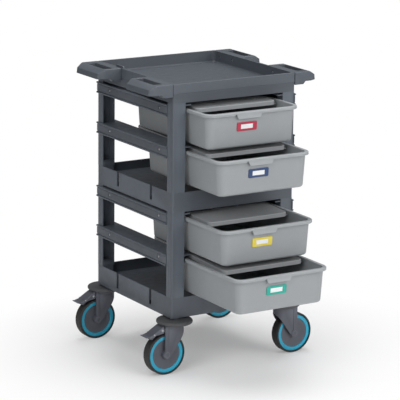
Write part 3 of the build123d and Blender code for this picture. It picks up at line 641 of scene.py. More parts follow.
def spread(tree, value, low, high, start=0.3, end=0.7):
    """Maps a pattern to a range of values."""
    node = tree.nodes.new("ShaderNodeMapRange")
    node.inputs["From Min"].default_value = start
    node.inputs["From Max"].default_value = end
    node.inputs["To Min"].default_value = low
    node.inputs["To Max"].default_value = high
    tree.links.new(value, node.inputs["Value"])
    return node.outputs["Result"]


def blend_colours(tree, factor, first, second):
    """Mixes two colours, each a tuple or an output, by a pattern."""
    node = tree.nodes.new("ShaderNodeMix")
    node.data_type = "RGBA"
    tree.links.new(factor, node.inputs["Factor"])
    for socket, value in ((node.inputs[6], first), (node.inputs[7], second)):
        if isinstance(value, bpy.types.NodeSocket):
            tree.links.new(value, socket)
        else:
            socket.default_value = (*value, 1.0)
    return node.outputs[2]


def shade(colour, factor):
    """A colour made lighter or darker."""
    return tuple(min(1.0, channel * factor) for channel in colour)


def grain(tree, surface, pattern, strength, depth):
    """Sets a fine relief on a surface."""
    bump = tree.nodes.new("ShaderNodeBump")
    bump.inputs["Strength"].default_value = strength
    bump.inputs["Distance"].default_value = depth
    tree.links.new(pattern, bump.inputs["Height"])
    tree.links.new(bump.outputs["Normal"], surface.inputs["Normal"])


def moulded(name, colour, roughness, relief, scale, edge_highlight, mottle=0.05):
    """Moulded plastic: a fine grain, faint clouding and paler edges that are a painted highlight."""
    material, tree, surface, coordinates = shader(name, roughness)
    clouds = noise(tree, coordinates, 7.0, 4.0)
    base = blend_colours(
        tree, spread(tree, clouds, 0.0, 1.0), shade(colour, 1 - mottle), shade(colour, 1 + mottle)
    )
    specks = noise(tree, coordinates, 900.0, 1.0)
    base = blend_colours(tree, spread(tree, specks, 0.0, 0.35, 0.55, 0.75), base, shade(colour, 1.35))
    geometry = tree.nodes.new("ShaderNodeNewGeometry")
    # Painted highlight: the colour turns lighter where the surface is pointy, standing in for light caught by the
    # rounded edges
    painted_edge_highlight = spread(tree, geometry.outputs["Pointiness"], 0.0, edge_highlight, 0.51, 0.58)
    base = blend_colours(tree, painted_edge_highlight, base, shade(colour, 2.4))
    tree.links.new(base, surface.inputs["Base Color"])
    gloss = noise(tree, coordinates, 45.0, 3.0)
    tree.links.new(spread(tree, gloss, roughness - 0.05, roughness + 0.06), surface.inputs["Roughness"])
    grain(tree, surface, noise(tree, coordinates, scale, 2.0), relief, 0.0002)
    return material


def glossy(name, colour, roughness):
    """Smooth plastic with a faint clouding."""
    material, tree, surface, coordinates = shader(name, roughness, coat=0.2)
    clouds = noise(tree, coordinates, 60.0, 3.0)
    base = blend_colours(tree, spread(tree, clouds, 0.0, 1.0), shade(colour, 0.95), shade(colour, 1.05))
    tree.links.new(base, surface.inputs["Base Color"])
    grain(tree, surface, noise(tree, coordinates, 500.0, 1.0), 0.05, 0.0001)
    return material


def rubber(name, colour, dust):
    """Matt rubber, dusted where it meets the floor."""
    material, tree, surface, coordinates = shader(name, 0.62)
    specks = noise(tree, coordinates, 160.0, 6.0)
    dusty = blend_colours(tree, spread(tree, specks, 0.0, dust, 0.40, 0.80), colour, DUST)
    tree.links.new(dusty, surface.inputs["Base Color"])
    tree.links.new(spread(tree, specks, 0.52, 0.75), surface.inputs["Roughness"])
    grain(tree, surface, noise(tree, coordinates, 1400.0, 2.0), 0.35, 0.0003)
    return material


def plated(name, colour):
    """Zinc-plated steel with fine streaks."""
    material, tree, surface, coordinates = shader(name, 0.32, metallic=1.0)
    streaks = noise(tree, coordinates, 220.0, 3.0, (1, 1, 6))
    base = blend_colours(tree, spread(tree, streaks, 0.0, 1.0), shade(colour, 0.8), shade(colour, 1.1))
    tree.links.new(base, surface.inputs["Base Color"])
    tree.links.new(spread(tree, streaks, 0.24, 0.42), surface.inputs["Roughness"])
    return material


def paper(name, colour):
    """Blank card with a faint fibre."""
    material, tree, surface, coordinates = shader(name, 0.75)
    fibre = noise(tree, coordinates, 700.0, 4.0, (1, 1, 3))
    base = blend_colours(tree, spread(tree, fibre, 0.0, 1.0), shade(colour, 0.95), shade(colour, 1.03))
    tree.links.new(base, surface.inputs["Base Color"])
    grain(tree, surface, fibre, 0.1, 0.0001)
    return material


def finish(slot):
    """The material of a slot, made when it is first asked for."""
    name = f"cart_{slot}"
    found = bpy.data.materials.get(name)
    if found:
        return found
    colours = bpy.context.scene.cart_colours
    # The last number of each moulded finish below is the strength of its painted edge highlight
    if slot == "frame_plastic":
        return moulded(name, colours.body, roughness=0.46, relief=0.30, scale=1300.0, edge_highlight=0.40)
    if slot == "drawer_plastic":
        return moulded(
            name, colours.drawer, roughness=0.44, relief=0.16, scale=1500.0, edge_highlight=0.20, mottle=0.03
        )
    if slot == "lid_plastic":
        return moulded(name, colours.lid, roughness=0.48, relief=0.22, scale=1500.0, edge_highlight=0.20, mottle=0.04)
    if slot in ("castor_plastic", "hub_plastic"):
        return moulded(name, colours.castor, roughness=0.42, relief=0.20, scale=1300.0, edge_highlight=0.40)
    if slot == "bumper_rubber":
        return rubber(name, colours.bumper, dust=0.35)
    if slot == "tyre":
        return rubber(name, colours.tyre, dust=0.25)
    if slot == "ring_blue":
        return glossy(name, colours.ring, roughness=0.35)
    if slot == "steel":
        return plated(name, colours.steel)
    if slot == "card":
        return paper(name, colours.card)
    number = ("label_red", "label_blue", "label_yellow", "label_green").index(slot) + 1
    return glossy(name, getattr(colours, f"label_{number}"), roughness=0.32)


# The body's pieces, built about the body's middle


def underside_cells(size, low, high):
    """The four hollows between the ribs under a platform or the tray."""
    half_x = HALF_WIDTH - size.wall
    half_y = HALF_DEPTH - size.wall
    gap = size.rib / 2
    cell = slab(half_x - gap, half_y - gap, low - PAST, high, 2 * PAST, 2)
    return four_corners(moved(cell, Matrix.Translation(((half_x + gap) / 2, (half_y + gap) / 2, 0))))


def platform_shape(size, low, high, recess, slot):
    """A shallow moulded tray with ribs below, slots in its sides and drain holes."""
    floor_top = high - recess
    shape = slab(2 * HALF_WIDTH, 2 * HALF_DEPTH, low, high, size.corner, 5)
    width = 2 * (HALF_WIDTH - size.wall)
    depth = 2 * (HALF_DEPTH - size.wall)
    well = slab(width, depth, floor_top, high + PAST, size.inner_corner, 4)
    round_edges(well, list(end_face(well, (0, 0, -1)).edges), size.inner_corner / 2, 3)
    shape = carve(shape, well, *underside_cells(size, low, floor_top - size.floor))
    shields = []
    reach = 4 * size.slot_width
    for side in (-1, 1):
        across = sorted(side * (HALF_WIDTH - size.wall - size.slot_shield + shift) for shift in (0, size.rib))
        for y in (-size.slot_offset, size.slot_offset):
            shields.append(
                cuboid((across[0], y - reach, low + PAST), (across[1], y + reach, floor_top - PAST))
            )
    shape = fuse(shape, *shields)
    cuts = []
    for side in (-1, 1):
        for y in (-size.slot_offset, size.slot_offset):
            across = sorted((side * (HALF_WIDTH - size.wall - PAST), side * (HALF_WIDTH + PAST)))
            half = size.slot_width / 2
            cuts.append(cuboid((across[0], y - half, high - slot), (across[1], y + half, high + PAST)))
        place = (side * size.drain_x, side * size.drain_y)
        cuts.append(rod((*place, low), (*place, high), size.drain_radius))
    return carve(shape, *cuts)


def column_shape(size, low, high, foot, head, shelves):
    """The right rear column: a channel open to the cart's middle, with a plug at each end."""
    inner_x = HALF_WIDTH - size.column_width
    inner_y = HALF_DEPTH - size.column_depth
    shape = cuboid((inner_x, inner_y, low), (HALF_WIDTH, HALF_DEPTH, high))
    outer = max(edges_along(shape, 2), key=lambda edge: edge.verts[0].co.x + edge.verts[0].co.y)
    round_edges(shape, [outer], size.column_edge, 5)
    left = inner_x + size.column_wall
    right = HALF_WIDTH - size.column_wall
    back = HALF_DEPTH - size.column_wall
    groove_y = HALF_DEPTH - size.groove_offset
    stops = [low + size.column_grip, *sorted(shelves), high - size.column_grip]
    cuts = []
    for index, bottom in enumerate(stops[:-1]):
        top = stops[index + 1] - (size.shelf if index + 1 < len(stops) - 1 else 0)
        cuts.append(cuboid((left, inner_y - PAST, bottom), (right, back, top)))
    groove = cuboid(
        (HALF_WIDTH - size.groove_depth, groove_y - size.groove_width / 2, low - PAST),
        (HALF_WIDTH + PAST, groove_y + size.groove_width / 2, high + PAST),
    )
    shape = carve(shape, *cuts, groove)
    outside = HALF_WIDTH - size.wall - size.fit_gap
    end = HALF_DEPTH - size.wall - size.fit_gap
    plugs = [
        cuboid((left, inner_y, low - foot), (outside, end, low)),
        cuboid((left, inner_y, high), (outside, end, high + head)),
    ]
    return join([shape, *plugs])


def strip_shape(size, low):
    """The right side's strip, with a rounded bead along its top and bottom and dished screw places."""
    front = -HALF_DEPTH - size.strip_overrun
    rear = HALF_DEPTH - size.column_depth
    outer = HALF_WIDTH + size.strip_wall
    shape = cuboid((HALF_WIDTH, front, low), (outer, rear, low + size.rail_height))
    beads = []
    for bottom in (low, low + size.rail_height - size.bead_height):
        top = bottom + size.bead_height
        bead = cuboid((HALF_WIDTH + PAST, front, bottom), (outer + size.bead_proud, rear, top))
        crest = [edge for edge in edges_along(bead, 1) if edge.verts[0].co.x > outer]
        round_edges(bead, crest, size.bead_edge, 4)
        beads.append(bead)
    shape = fuse(shape, *beads)
    cuts = []
    for y in (-size.screw_y, size.screw_y):
        seat = (outer - size.screw_dish, y, low + size.screw_up)
        cuts.append(rod(seat, (outer + PAST, *seat[1:]), size.screw_ring))
    inside = outer - size.screw_dish
    for level in (low + size.bead_height, low + size.rail_height - size.bead_height - size.crease):
        top = level + size.crease
        cuts.append(cuboid((inside, front - PAST, level), (outer + PAST, rear + PAST, top)))
    return carve(shape, *cuts)


def runner_shape(size, low):
    """The right side's runner: a web with a ledge for the drawer's rim, a cover and a rear stop."""
    column_face = HALF_DEPTH - size.column_depth
    end = column_face - size.fit_gap
    web = HALF_WIDTH - size.runner_wall
    high = low + size.rail_height
    ledge_top = low + size.ledge_level
    ledge_low = ledge_top - size.runner_wall
    cover = HALF_WIDTH - size.runner_top_reach
    ledge = HALF_WIDTH - size.runner_reach
    long_end = HALF_DEPTH - size.fit_gap
    long_outer = HALF_WIDTH - size.column_width - size.fit_gap
    stop = -HALF_DEPTH + drawer_length() + size.fit_gap
    shape = cuboid((web, -end, low), (HALF_WIDTH, end, high))
    blocks = [
        cuboid((cover, -end, high - size.runner_wall), (HALF_WIDTH, end, high)),
        cuboid((ledge, -end, ledge_low), (HALF_WIDTH, end, ledge_top)),
        cuboid((cover, -long_end, high - size.runner_wall), (long_outer, long_end, high)),
        cuboid((ledge, -long_end, ledge_low), (long_outer, long_end, ledge_top)),
        cuboid((ledge, stop, ledge_low), (long_outer, stop + size.stop_wall, ledge_top + size.stop_height)),
    ]
    inner = HALF_WIDTH - size.column_width + size.column_wall + size.fit_gap
    outer = HALF_WIDTH - size.column_wall - size.fit_gap
    half = size.screw_boss / 2
    boss = web - size.screw_boss_depth
    level = low + size.screw_up
    for side in (-1, 1):
        ends = sorted((side * (end - size.runner_wall), side * (column_face + size.tongue_length)))
        blocks.append(cuboid((inner, ends[0], low), (outer, ends[1], ledge_top)))
        y = side * size.screw_y
        blocks.append(cuboid((boss, y - half, level - half), (web + PAST, y + half, level + half)))
    return fuse(shape, *blocks)


def screw(centre, outwards, radius, proud, shank, reach):
    """A pan-head screw with a cross recess; its head starts at the centre."""
    centre = Vector(centre)
    outwards = Vector(outwards)
    dome = [(0.0, proud)] + [
        (radius * math.sin(a), proud * math.cos(a)) for a in (0.5, 0.9, 1.2, 1.45)
    ]
    head = lathe(dome + [(radius, 0.0), (shank, 0.0), (shank, -reach), (0.0, -reach)], centre, outwards, 28)
    level = outwards.orthogonal().normalized()
    upright = outwards.cross(level)
    arms = []
    for along, across in ((level, upright), (upright, level)):
        half = along * (radius * 0.55) + across * (radius * 0.12)
        low = centre + outwards * (proud * 0.35) - half
        high = centre + outwards * (proud + PAST) + half
        corners = [[min(pair) for pair in zip(low, high)], [max(pair) for pair in zip(low, high)]]
        arms.append(cuboid(*corners))
    return carve(head, *arms)


def rail_levels(node):
    """The undersides of the two rails of a bay."""
    low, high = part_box(node)
    return [high.z - bpy.context.scene.cart_body.rail_height, low.z]


def drawer_length():
    """The length of a drawer's rim."""
    low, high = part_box("drawer_1")
    return high.y - low.y


def fastener_places(size):
    """Where a handle's two screws cross the tray's wall, for the rear handles."""
    middle = HALF_DEPTH - size.handle_length / 2
    level = RIM_TOP - size.fastener_drop
    return [(middle - size.fastener_spacing / 2, level), (middle + size.fastener_spacing / 2, level)]


def handle_shape(size):
    """The right rear handle: a bar round a hand slot, on a foot against the tray's wall."""
    seat = HALF_WIDTH + size.tray_step
    outline = [
        (seat, RIM_TOP - size.handle_height),
        (HALF_WIDTH + size.handle_foot, RIM_TOP - size.handle_height),
        (HALF_WIDTH + size.handle_undercut, RIM_TOP - size.grip_height),
        (HALF_WIDTH + size.handle_reach, RIM_TOP - size.grip_height),
        (HALF_WIDTH + size.shoulder_reach, RIM_TOP - size.shoulder_drop),
        (HALF_WIDTH + size.crest_reach, RIM_TOP),
        (seat, RIM_TOP),
    ]
    rear = HALF_DEPTH + size.tray_step
    front = rear - size.handle_length
    shape = prism([(x, front, z) for x, z in outline], (0, size.handle_length, 0))
    reach = HALF_WIDTH + size.handle_reach
    low = RIM_TOP - size.handle_height - PAST
    depth = (0, 0, size.handle_height + 2 * PAST)
    run = size.facet_y * (size.facet_x + PAST) / size.facet_x
    cuts = []
    for end, inward in ((rear, -1), (front, 1)):
        start = end - inward * PAST
        corner = [(reach - size.facet_x, start), (reach + PAST, start), (reach + PAST, end + inward * run)]
        corner.insert(1, (reach - size.facet_x, end))
        wedge = [corner[1], corner[0], corner[2], corner[3]]
        cuts.append(prism([(x, y, low) for x, y in wedge], depth))
    slot_front = front + size.middle_bar
    slot_rear = rear - size.end_bar
    hole = slab(
        size.hand_slot_width,
        slot_rear - slot_front,
        low,
        RIM_TOP + PAST,
        size.hand_slot_corner,
        5,
    )
    slot_x = HALF_WIDTH + size.hand_slot_from + size.hand_slot_width / 2
    cuts.append(moved(hole, Matrix.Translation((slot_x, (slot_front + slot_rear) / 2, 0))))
    return carve(shape, *cuts)


class CART_OT_tray(bpy.types.Operator):
    """Builds the top tray."""

    bl_idname = "cart.tray"
    bl_label = "Top tray"

    def execute(self, context):
        size = context.scene.cart_body
        half_x = HALF_WIDTH + size.tray_step
        half_y = HALF_DEPTH + size.tray_step
        band_low = TRAY_LOW.z + size.tray_skirt
        floor_top = RIM_TOP - size.tray_depth
        shape = slab(2 * half_x, 2 * half_y, band_low, RIM_TOP - size.tray_edge, size.corner, 5)
        stack(shape, end_face(shape, (0, 0, 1)), turn_in(size.tray_edge, 1, 3))
        stack(shape, end_face(shape, (0, 0, -1)), [(size.tray_step, 0), (0, size.tray_skirt)])
        well = slab(
            2 * (half_x - size.tray_wall),
            2 * (half_y - size.tray_wall),
            floor_top,
            RIM_TOP + PAST,
            size.tray_corner,
        )
        round_edges(well, list(end_face(well, (0, 0, -1)).edges), size.tray_cove, 4)
        shape = carve(shape, well, *underside_cells(size, TRAY_LOW.z, floor_top - size.floor))
        wall = half_x - size.tray_wall
        sinks = []
        for y, z in fastener_places(size):
            seat = (wall + size.fastener_sink, y, z)
            sinks.append(rod((wall - PAST, y, z), seat, size.fastener_head + size.fit_gap, 24))
        shape = carve(shape, *four_corners(join(sinks)))
        lug_x = -half_x + size.lug_setback
        lug = cuboid(
            (lug_x, size.lug_y - size.lug_length / 2, RIM_TOP - size.lug_height),
            (lug_x + size.lug_thickness, size.lug_y + size.lug_length / 2, RIM_TOP + size.lug_height),
        )
        ends = [edge for edge in edges_along(lug, 0) if edge.verts[0].co.z > RIM_TOP]
        round_edges(lug, ends, size.lug_corner, 5)
        piece("top_tray_shell", fuse(shape, lug), "frame", "frame_plastic", ["top_tray"], size.edge)
        return {"FINISHED"}


class CART_OT_platforms(bpy.types.Operator):
    """Builds the base platform and the middle platform."""

    bl_idname = "cart.platforms"
    bl_label = "Platforms"

    def execute(self, context):
        size = context.scene.cart_body
        middle_low = MIDDLE_LOW.z + size.peg_drop
        base = platform_shape(size, BASE_LOW.z, BASE_HIGH.z, size.base_recess, size.base_slot)
        ceiling = BASE_HIGH.z - size.base_recess - size.floor
        wall_x = HALF_WIDTH - size.wall
        wall_y = HALF_DEPTH - size.wall
        socket = cuboid(
            (wall_x - size.socket_width, wall_y - size.socket_depth, BASE_LOW.z),
            (wall_x + PAST, wall_y + PAST, ceiling + PAST),
        )
        base = fuse(base, *four_corners(socket))
        stem = context.scene.cart_castor.stem_radius
        swivel = JOINTS["swivel_rear_right"]["pos_m"]
        place = (swivel[0], swivel[1] - CENTRE_Y)
        hole = rod((*place, BASE_LOW.z - PAST), (*place, ceiling - size.floor), stem)
        base = carve(base, *four_corners(hole))
        piece("base_platform_shell", base, "frame", "frame_plastic", ["base_platform"], size.edge)
        middle = platform_shape(size, middle_low, MIDDLE_HIGH.z, size.middle_recess, size.middle_slot)
        pegs = []
        for x in (-size.peg_left, size.peg_right):
            place = (x, -HALF_DEPTH + size.peg_setback)
            pegs.append(rod((*place, middle_low + size.floor), (*place, MIDDLE_LOW.z), size.peg_radius))
        middle = fuse(middle, *pegs)
        piece("middle_platform_shell", middle, "frame", "frame_plastic", ["middle_platform"], size.edge)
        return {"FINISHED"}


class CART_OT_columns(bpy.types.Operator):
    """Builds the eight columns."""

    bl_idname = "cart.columns"
    bl_label = "Columns"

    def execute(self, context):
        size = context.scene.cart_body
        middle_low = MIDDLE_LOW.z + size.peg_drop
        lower_head = MIDDLE_HIGH.z - size.middle_recess - size.floor - middle_low
        upper_head = RIM_TOP - size.tray_depth - size.floor - TRAY_LOW.z
        bays = (
            ("lower", BASE_HIGH.z, middle_low, size.base_recess, lower_head),
            ("upper", MIDDLE_HIGH.z, TRAY_LOW.z, size.middle_recess, upper_head),
        )
        for bay, low, high, foot, head in bays:
            shape = column_shape(size, low, high, foot, head, rail_levels(f"{bay}_side_rails"))
            columns = join(four_corners(shape))
            piece(f"{bay}_column_set", columns, "frame", "frame_plastic", [f"{bay}_columns"], size.edge)
        return {"FINISHED"}


class CART_OT_rails(bpy.types.Operator):
    """Builds the side strips, the runners behind them and their screws."""

    bl_idname = "cart.rails"
    bl_label = "Rails and runners"

    def execute(self, context):
        size = context.scene.cart_body
        turn = Matrix.Rotation(math.pi, 4, "Z")
        mirror = Matrix.Diagonal((-1, 1, 1, 1))
        seat = HALF_WIDTH + size.strip_wall - size.screw_dish
        reach = size.screw_boss_depth
        screws = []
        for bay in ("upper", "lower"):
            strips = []
            runners = []
            for level in rail_levels(f"{bay}_side_rails"):
                strip = strip_shape(size, level)
                strips += [strip.copy(), moved(strip, turn)]
                runner = runner_shape(size, level)
                runners += [runner.copy(), moved(runner, mirror)]
                for side in (-1, 1):
                    for y in (-size.screw_y, size.screw_y):
                        place = (side * seat, y, level + size.screw_up)
                        screws.append(
                            screw(
                                place,
                                (side, 0, 0),
                                size.screw_head,
                                size.screw_dish + size.screw_proud,
                                size.screw_radius,
                                reach,
                            )
                        )
            parts = {"strips": (strips, "side_rails"), "runners": (runners, "drawer_runners")}
            for name, (shapes, node) in parts.items():
                nodes = [f"{bay}_{node}"]
                piece(f"{bay}_{name}", join(shapes), "frame", "frame_plastic", nodes, size.edge / 2, 2)
        piece("rail_screw_set", join(screws), "frame", "steel", ["rail_screws"], 0)
        return {"FINISHED"}


class CART_OT_handles(bpy.types.Operator):
    """Builds the four corner handles and their screws."""

    bl_idname = "cart.handles"
    bl_label = "Handles"

    def execute(self, context):
        size = context.scene.cart_body
        shape = handle_shape(size)
        for label, (side_x, side_y) in CORNERS.items():
            handle = moved(shape.copy(), Matrix.Diagonal((side_x, side_y, 1, 1)))
            node = f"handle_{label}"
            piece(f"grip_{label}", handle, "frame", "frame_plastic", [node], size.handle_edge, 4)
        shape.free()
        seat = HALF_WIDTH + size.tray_step - size.tray_wall + size.fastener_sink
        screws = []
        for side_x, side_y in CORNERS.values():
            for y, z in fastener_places(size):
                screws.append(
                    screw(
                        (side_x * seat, side_y * y, z),
                        (-side_x, 0, 0),
                        size.fastener_head,
                        size.fastener_sink,
                        size.fastener_radius,
                        size.fastener_length - size.fastener_sink,
                    )
                )
        piece("handle_screw_set", join(screws), "frame", "steel", ["handle_screws"], 0)
        return {"FINISHED"}


# Drawers, labels and lids, each built with the rim's front at y = 0 and the rim's top at z = 0


def drawer_place(number):
    """Where a drawer's own frame lies."""
    low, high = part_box(f"drawer_{number}")
    return Matrix.Translation((0, low.y, high.z))


def lid_setback(number):
    """How far behind the rim's front a lid starts, from how far it slides."""
    return JOINTS[f"lid_{number}_slide"]["range_m"][1] + LID_STOP


def tub_side(size, depth):
    """Half a drawer's outer width at a depth under its rim's top."""
    low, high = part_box("drawer_1")
    return (high.x - low.x) / 2 - size.overhang - size.draft * depth / size.height


def drawer_shape(size, setback):
    """A drawer: a tapered tub with a rounded rim, a pull, side nubs and ledges for its lid."""
    low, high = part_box("drawer_1")
    width = high.x - low.x
    depth = high.y - low.y
    slope = size.draft / size.height
    shape = slab(width, depth, -size.rim_height, -size.rim_edge, size.rim_radius, 14)
    top = end_face(shape, (0, 0, 1))
    bottom = end_face(shape, (0, 0, -1))
    mouth = size.overhang + size.wall
    wall_low = size.height - size.wall - size.inner_radius
    wall_run = wall_low - size.rim_inner_edge
    inside = turn_in(size.rim_edge, 1, 5)
    inside.append((mouth - size.rim_edge - size.rim_inner_edge, 0))
    inside += turn_down(size.rim_inner_edge)
    inside.append((slope * wall_run, -wall_run))
    inside += turn_in(size.inner_radius, -1, 5)
    stack(shape, top, inside)
    channel = size.rim_height - size.rim_wall
    outer_run = size.height - size.bottom_radius - size.rim_wall
    outside = [(size.rim_wall, 0), (0, -channel)]
    outside.append((size.overhang - size.rim_wall + slope * size.rim_wall, 0))
    outside.append((slope * outer_run, outer_run))
    outside += turn_in(size.bottom_radius, 1, 6)
    outside += [(size.foot_inset, 0), (size.foot_recess, -size.foot_recess)]
    stack(shape, bottom, outside)
    bmesh.ops.translate(shape, vec=(0, depth / 2, 0), verts=shape.verts)
    add_pull(shape, size)
    extras = []
    nub_level = -size.rim_height - size.nub_radius
    for side in (-1, 1):
        wall = side * tub_side(size, -nub_level)
        for y in (size.nub_offset, depth - size.nub_offset):
            tip = wall + side * size.nub_proud
            extras.append(rod((wall - side * PAST, y, nub_level), (tip, y, nub_level), size.nub_radius, 24))
        ledge_top = size.lid_above - size.lid_lip - size.lid_play
        inner = side * (size.lid_width / 2 - size.ledge_overlap)
        outer = side * (tub_side(size, size.ledge_thickness - ledge_top) - size.wall / 2)
        extras.append(
            cuboid(
                (min(inner, outer), setback + size.ledge_setback, ledge_top - size.ledge_thickness),
                (max(inner, outer), depth - size.rim_radius, ledge_top),
            )
        )
    return join([shape, *extras])


def add_pull(shape, size):
    """Draws the pull out of the front of the rim's skirt, with a notch at its left end."""
    left = -size.fittings_x - size.pull_width / 2
    right = -size.fittings_x + size.pull_width / 2
    notch = left + size.notch_width
    for x in (left, notch, right):
        near = [
            face
            for face in shape.faces
            if face.calc_center_median().y < size.rim_wall + PAST
            and -size.rim_height - PAST < face.calc_center_median().z < 0
        ]
        geometry = set(near)
        for face in near:
            geometry.update(face.edges)
            geometry.update(face.verts)
        bmesh.ops.bisect_plane(
            shape, geom=list(geometry), dist=1e-7, plane_co=(x, 0, 0), plane_no=(1, 0, 0)
        )

    def skirt_between(start, end):
        found = []
        for face in shape.faces:
            middle = face.calc_center_median()
            level = abs(middle.z + size.rim_height) < PAST / 10
            if level and middle.y < size.rim_wall and start < middle.x < end:
                found.append(face)
        return found

    for start, end, drop in ((left, notch, -size.notch_rise), (notch, right, size.pull_drop)):
        faces = skirt_between(start, end)
        made = bmesh.ops.extrude_face_region(shape, geom=faces)
        verts = [item for item in made["geom"] if isinstance(item, bmesh.types.BMVert)]
        bmesh.ops.delete(shape, geom=[face for face in faces if face.is_valid], context="FACES_ONLY")
        bmesh.ops.translate(shape, vec=(0, 0, -drop), verts=verts)
        if drop > 0:
            for vert in verts:
                vert.co.x += size.pull_slant if vert.co.x < (start + end) / 2 else -size.pull_slant
    bmesh.ops.recalc_face_normals(shape, faces=shape.faces)


def label_place(number, lift):
    """The frame on a drawer's sloping front at its label, moved out by lift, with Z outwards."""
    size = bpy.context.scene.cart_drawer
    angle = math.atan(size.draft / size.height)
    face_y = size.overhang + size.draft / size.height * size.label_drop
    normal = Vector((0, -math.cos(angle), -math.sin(angle)))
    across = Vector((1, 0, 0))
    up = normal.cross(across)
    turn = Matrix((across, up, normal)).transposed().to_4x4()
    centre = Vector((-size.fittings_x, face_y, -size.label_drop)) + normal * lift
    return drawer_place(number) @ Matrix.Translation(centre) @ turn


class CART_OT_drawers(bpy.types.Operator):
    """Builds the four drawers."""

    bl_idname = "cart.drawers"
    bl_label = "Drawers"

    def execute(self, context):
        size = context.scene.cart_drawer
        for number in DRAWERS:
            shape = drawer_shape(size, lid_setback(number))
            node = f"drawer_{number}"
            place = drawer_place(number)
            piece(f"drawer_box_{number}", shape, node, "drawer_plastic", [node], size.edge, 2, place)
        return {"FINISHED"}


class CART_OT_labels(bpy.types.Operator):
    """Builds the label frames and their blank cards."""

    bl_idname = "cart.labels"
    bl_label = "Labels"

    def execute(self, context):
        size = context.scene.cart_drawer
        slots = ("label_red", "label_blue", "label_yellow", "label_green")
        for number, slot in zip(DRAWERS, slots):
            holder = slab(size.label_width, size.label_height, 0, size.label_thickness, size.label_corner, 6)
            window = slab(
                size.card_width + 2 * size.card_play,
                size.card_height + 2 * size.card_play,
                size.label_thickness - size.card_recess,
                size.label_thickness + PAST,
                size.card_play,
                2,
            )
            holder = carve(holder, window)
            body = f"drawer_{number}"
            piece(
                f"label_frame_{number}",
                holder,
                body,
                slot,
                [f"label_holder_{number}"],
                size.label_edge,
                3,
                label_place(number, 0),
            )
            card = slab(size.card_width, size.card_height, 0, size.card_thickness, size.card_play, 2)
            lift = size.label_thickness - size.card_recess
            piece(
                f"blank_card_{number}",
                card,
                body,
                "card",
                [f"label_card_{number}"],
                0,
                place=label_place(number, lift),
            )
        return {"FINISHED"}


class CART_OT_lids(bpy.types.Operator):
    """Builds the four sliding lids."""

    bl_idname = "cart.lids"
    bl_label = "Lids"

    def execute(self, context):
        size = context.scene.cart_drawer
        for number in DRAWERS:
            back = lid_setback(number)
            rise = size.lid_lip - size.lid_above + size.lid_play
            run = drawer_length() - size.overhang - size.wall - back
            shape = slab(
                size.lid_width, size.lid_length, -size.lid_lip, -size.lid_edge, size.lid_corner, 8
            )
            stack(shape, end_face(shape, (0, 0, 1)), turn_in(size.lid_edge, 1, 4))
            hollow = size.lid_lip - size.lid_wall
            stack(shape, end_face(shape, (0, 0, -1)), [(size.lid_wall, 0), (0, -hollow)])
            bmesh.ops.translate(shape, vec=(0, size.lid_length / 2, 0), verts=shape.verts)
            place = (size.lid_hole_x, size.lid_hole_back)
            hole = rod((*place, -size.lid_wall - PAST), (*place, PAST), size.lid_hole_radius, 28)
            shape = carve(shape, hole)
            tilt = Matrix.Rotation(math.atan(rise / run), 4, "X")
            place = drawer_place(number) @ Matrix.Translation((0, back, size.lid_above)) @ tilt
            node = f"lid_{number}"
            piece(f"lid_panel_{number}", shape, node, "lid_plastic", [node], size.edge, 2, place)
        return {"FINISHED"}


# Castors, built with the swivel axis at x = y = 0 and the wheel trailing along +X


def castor_place(label):
    """Where a castor's own frame lies."""
    place = Vector(JOINTS[f"swivel_{label}"]["pos_m"])
    turn = 0 if CORNERS[label][0] > 0 else math.pi
    return Matrix.Translation((place.x, place.y, 0)) @ Matrix.Rotation(turn, 4, "Z")


def castor_levels(size):
    """The trail, the wheel's radius and the crown's underside and top."""
    swivel = Vector(JOINTS["swivel_rear_right"]["pos_m"])
    axle = Vector(JOINTS["wheel_rear_right_spin"]["pos_m"])
    low = 2 * axle.z + size.crown_gap
    return axle.x - swivel.x, axle.z, low, low + size.crown


def fork_half(size):
    """Half the width across a fork's legs."""
    return size.wheel_width / 2 + size.side_gap + size.fork_wall


def nose_outline(nose, radius, back):
    """An outline seen from above, round in front and straight behind, as (x, y) points."""
    front = arc((nose, 0), radius, math.pi / 2, 3 * math.pi / 2, 16)
    return front + [(back, -radius), (back, radius)]


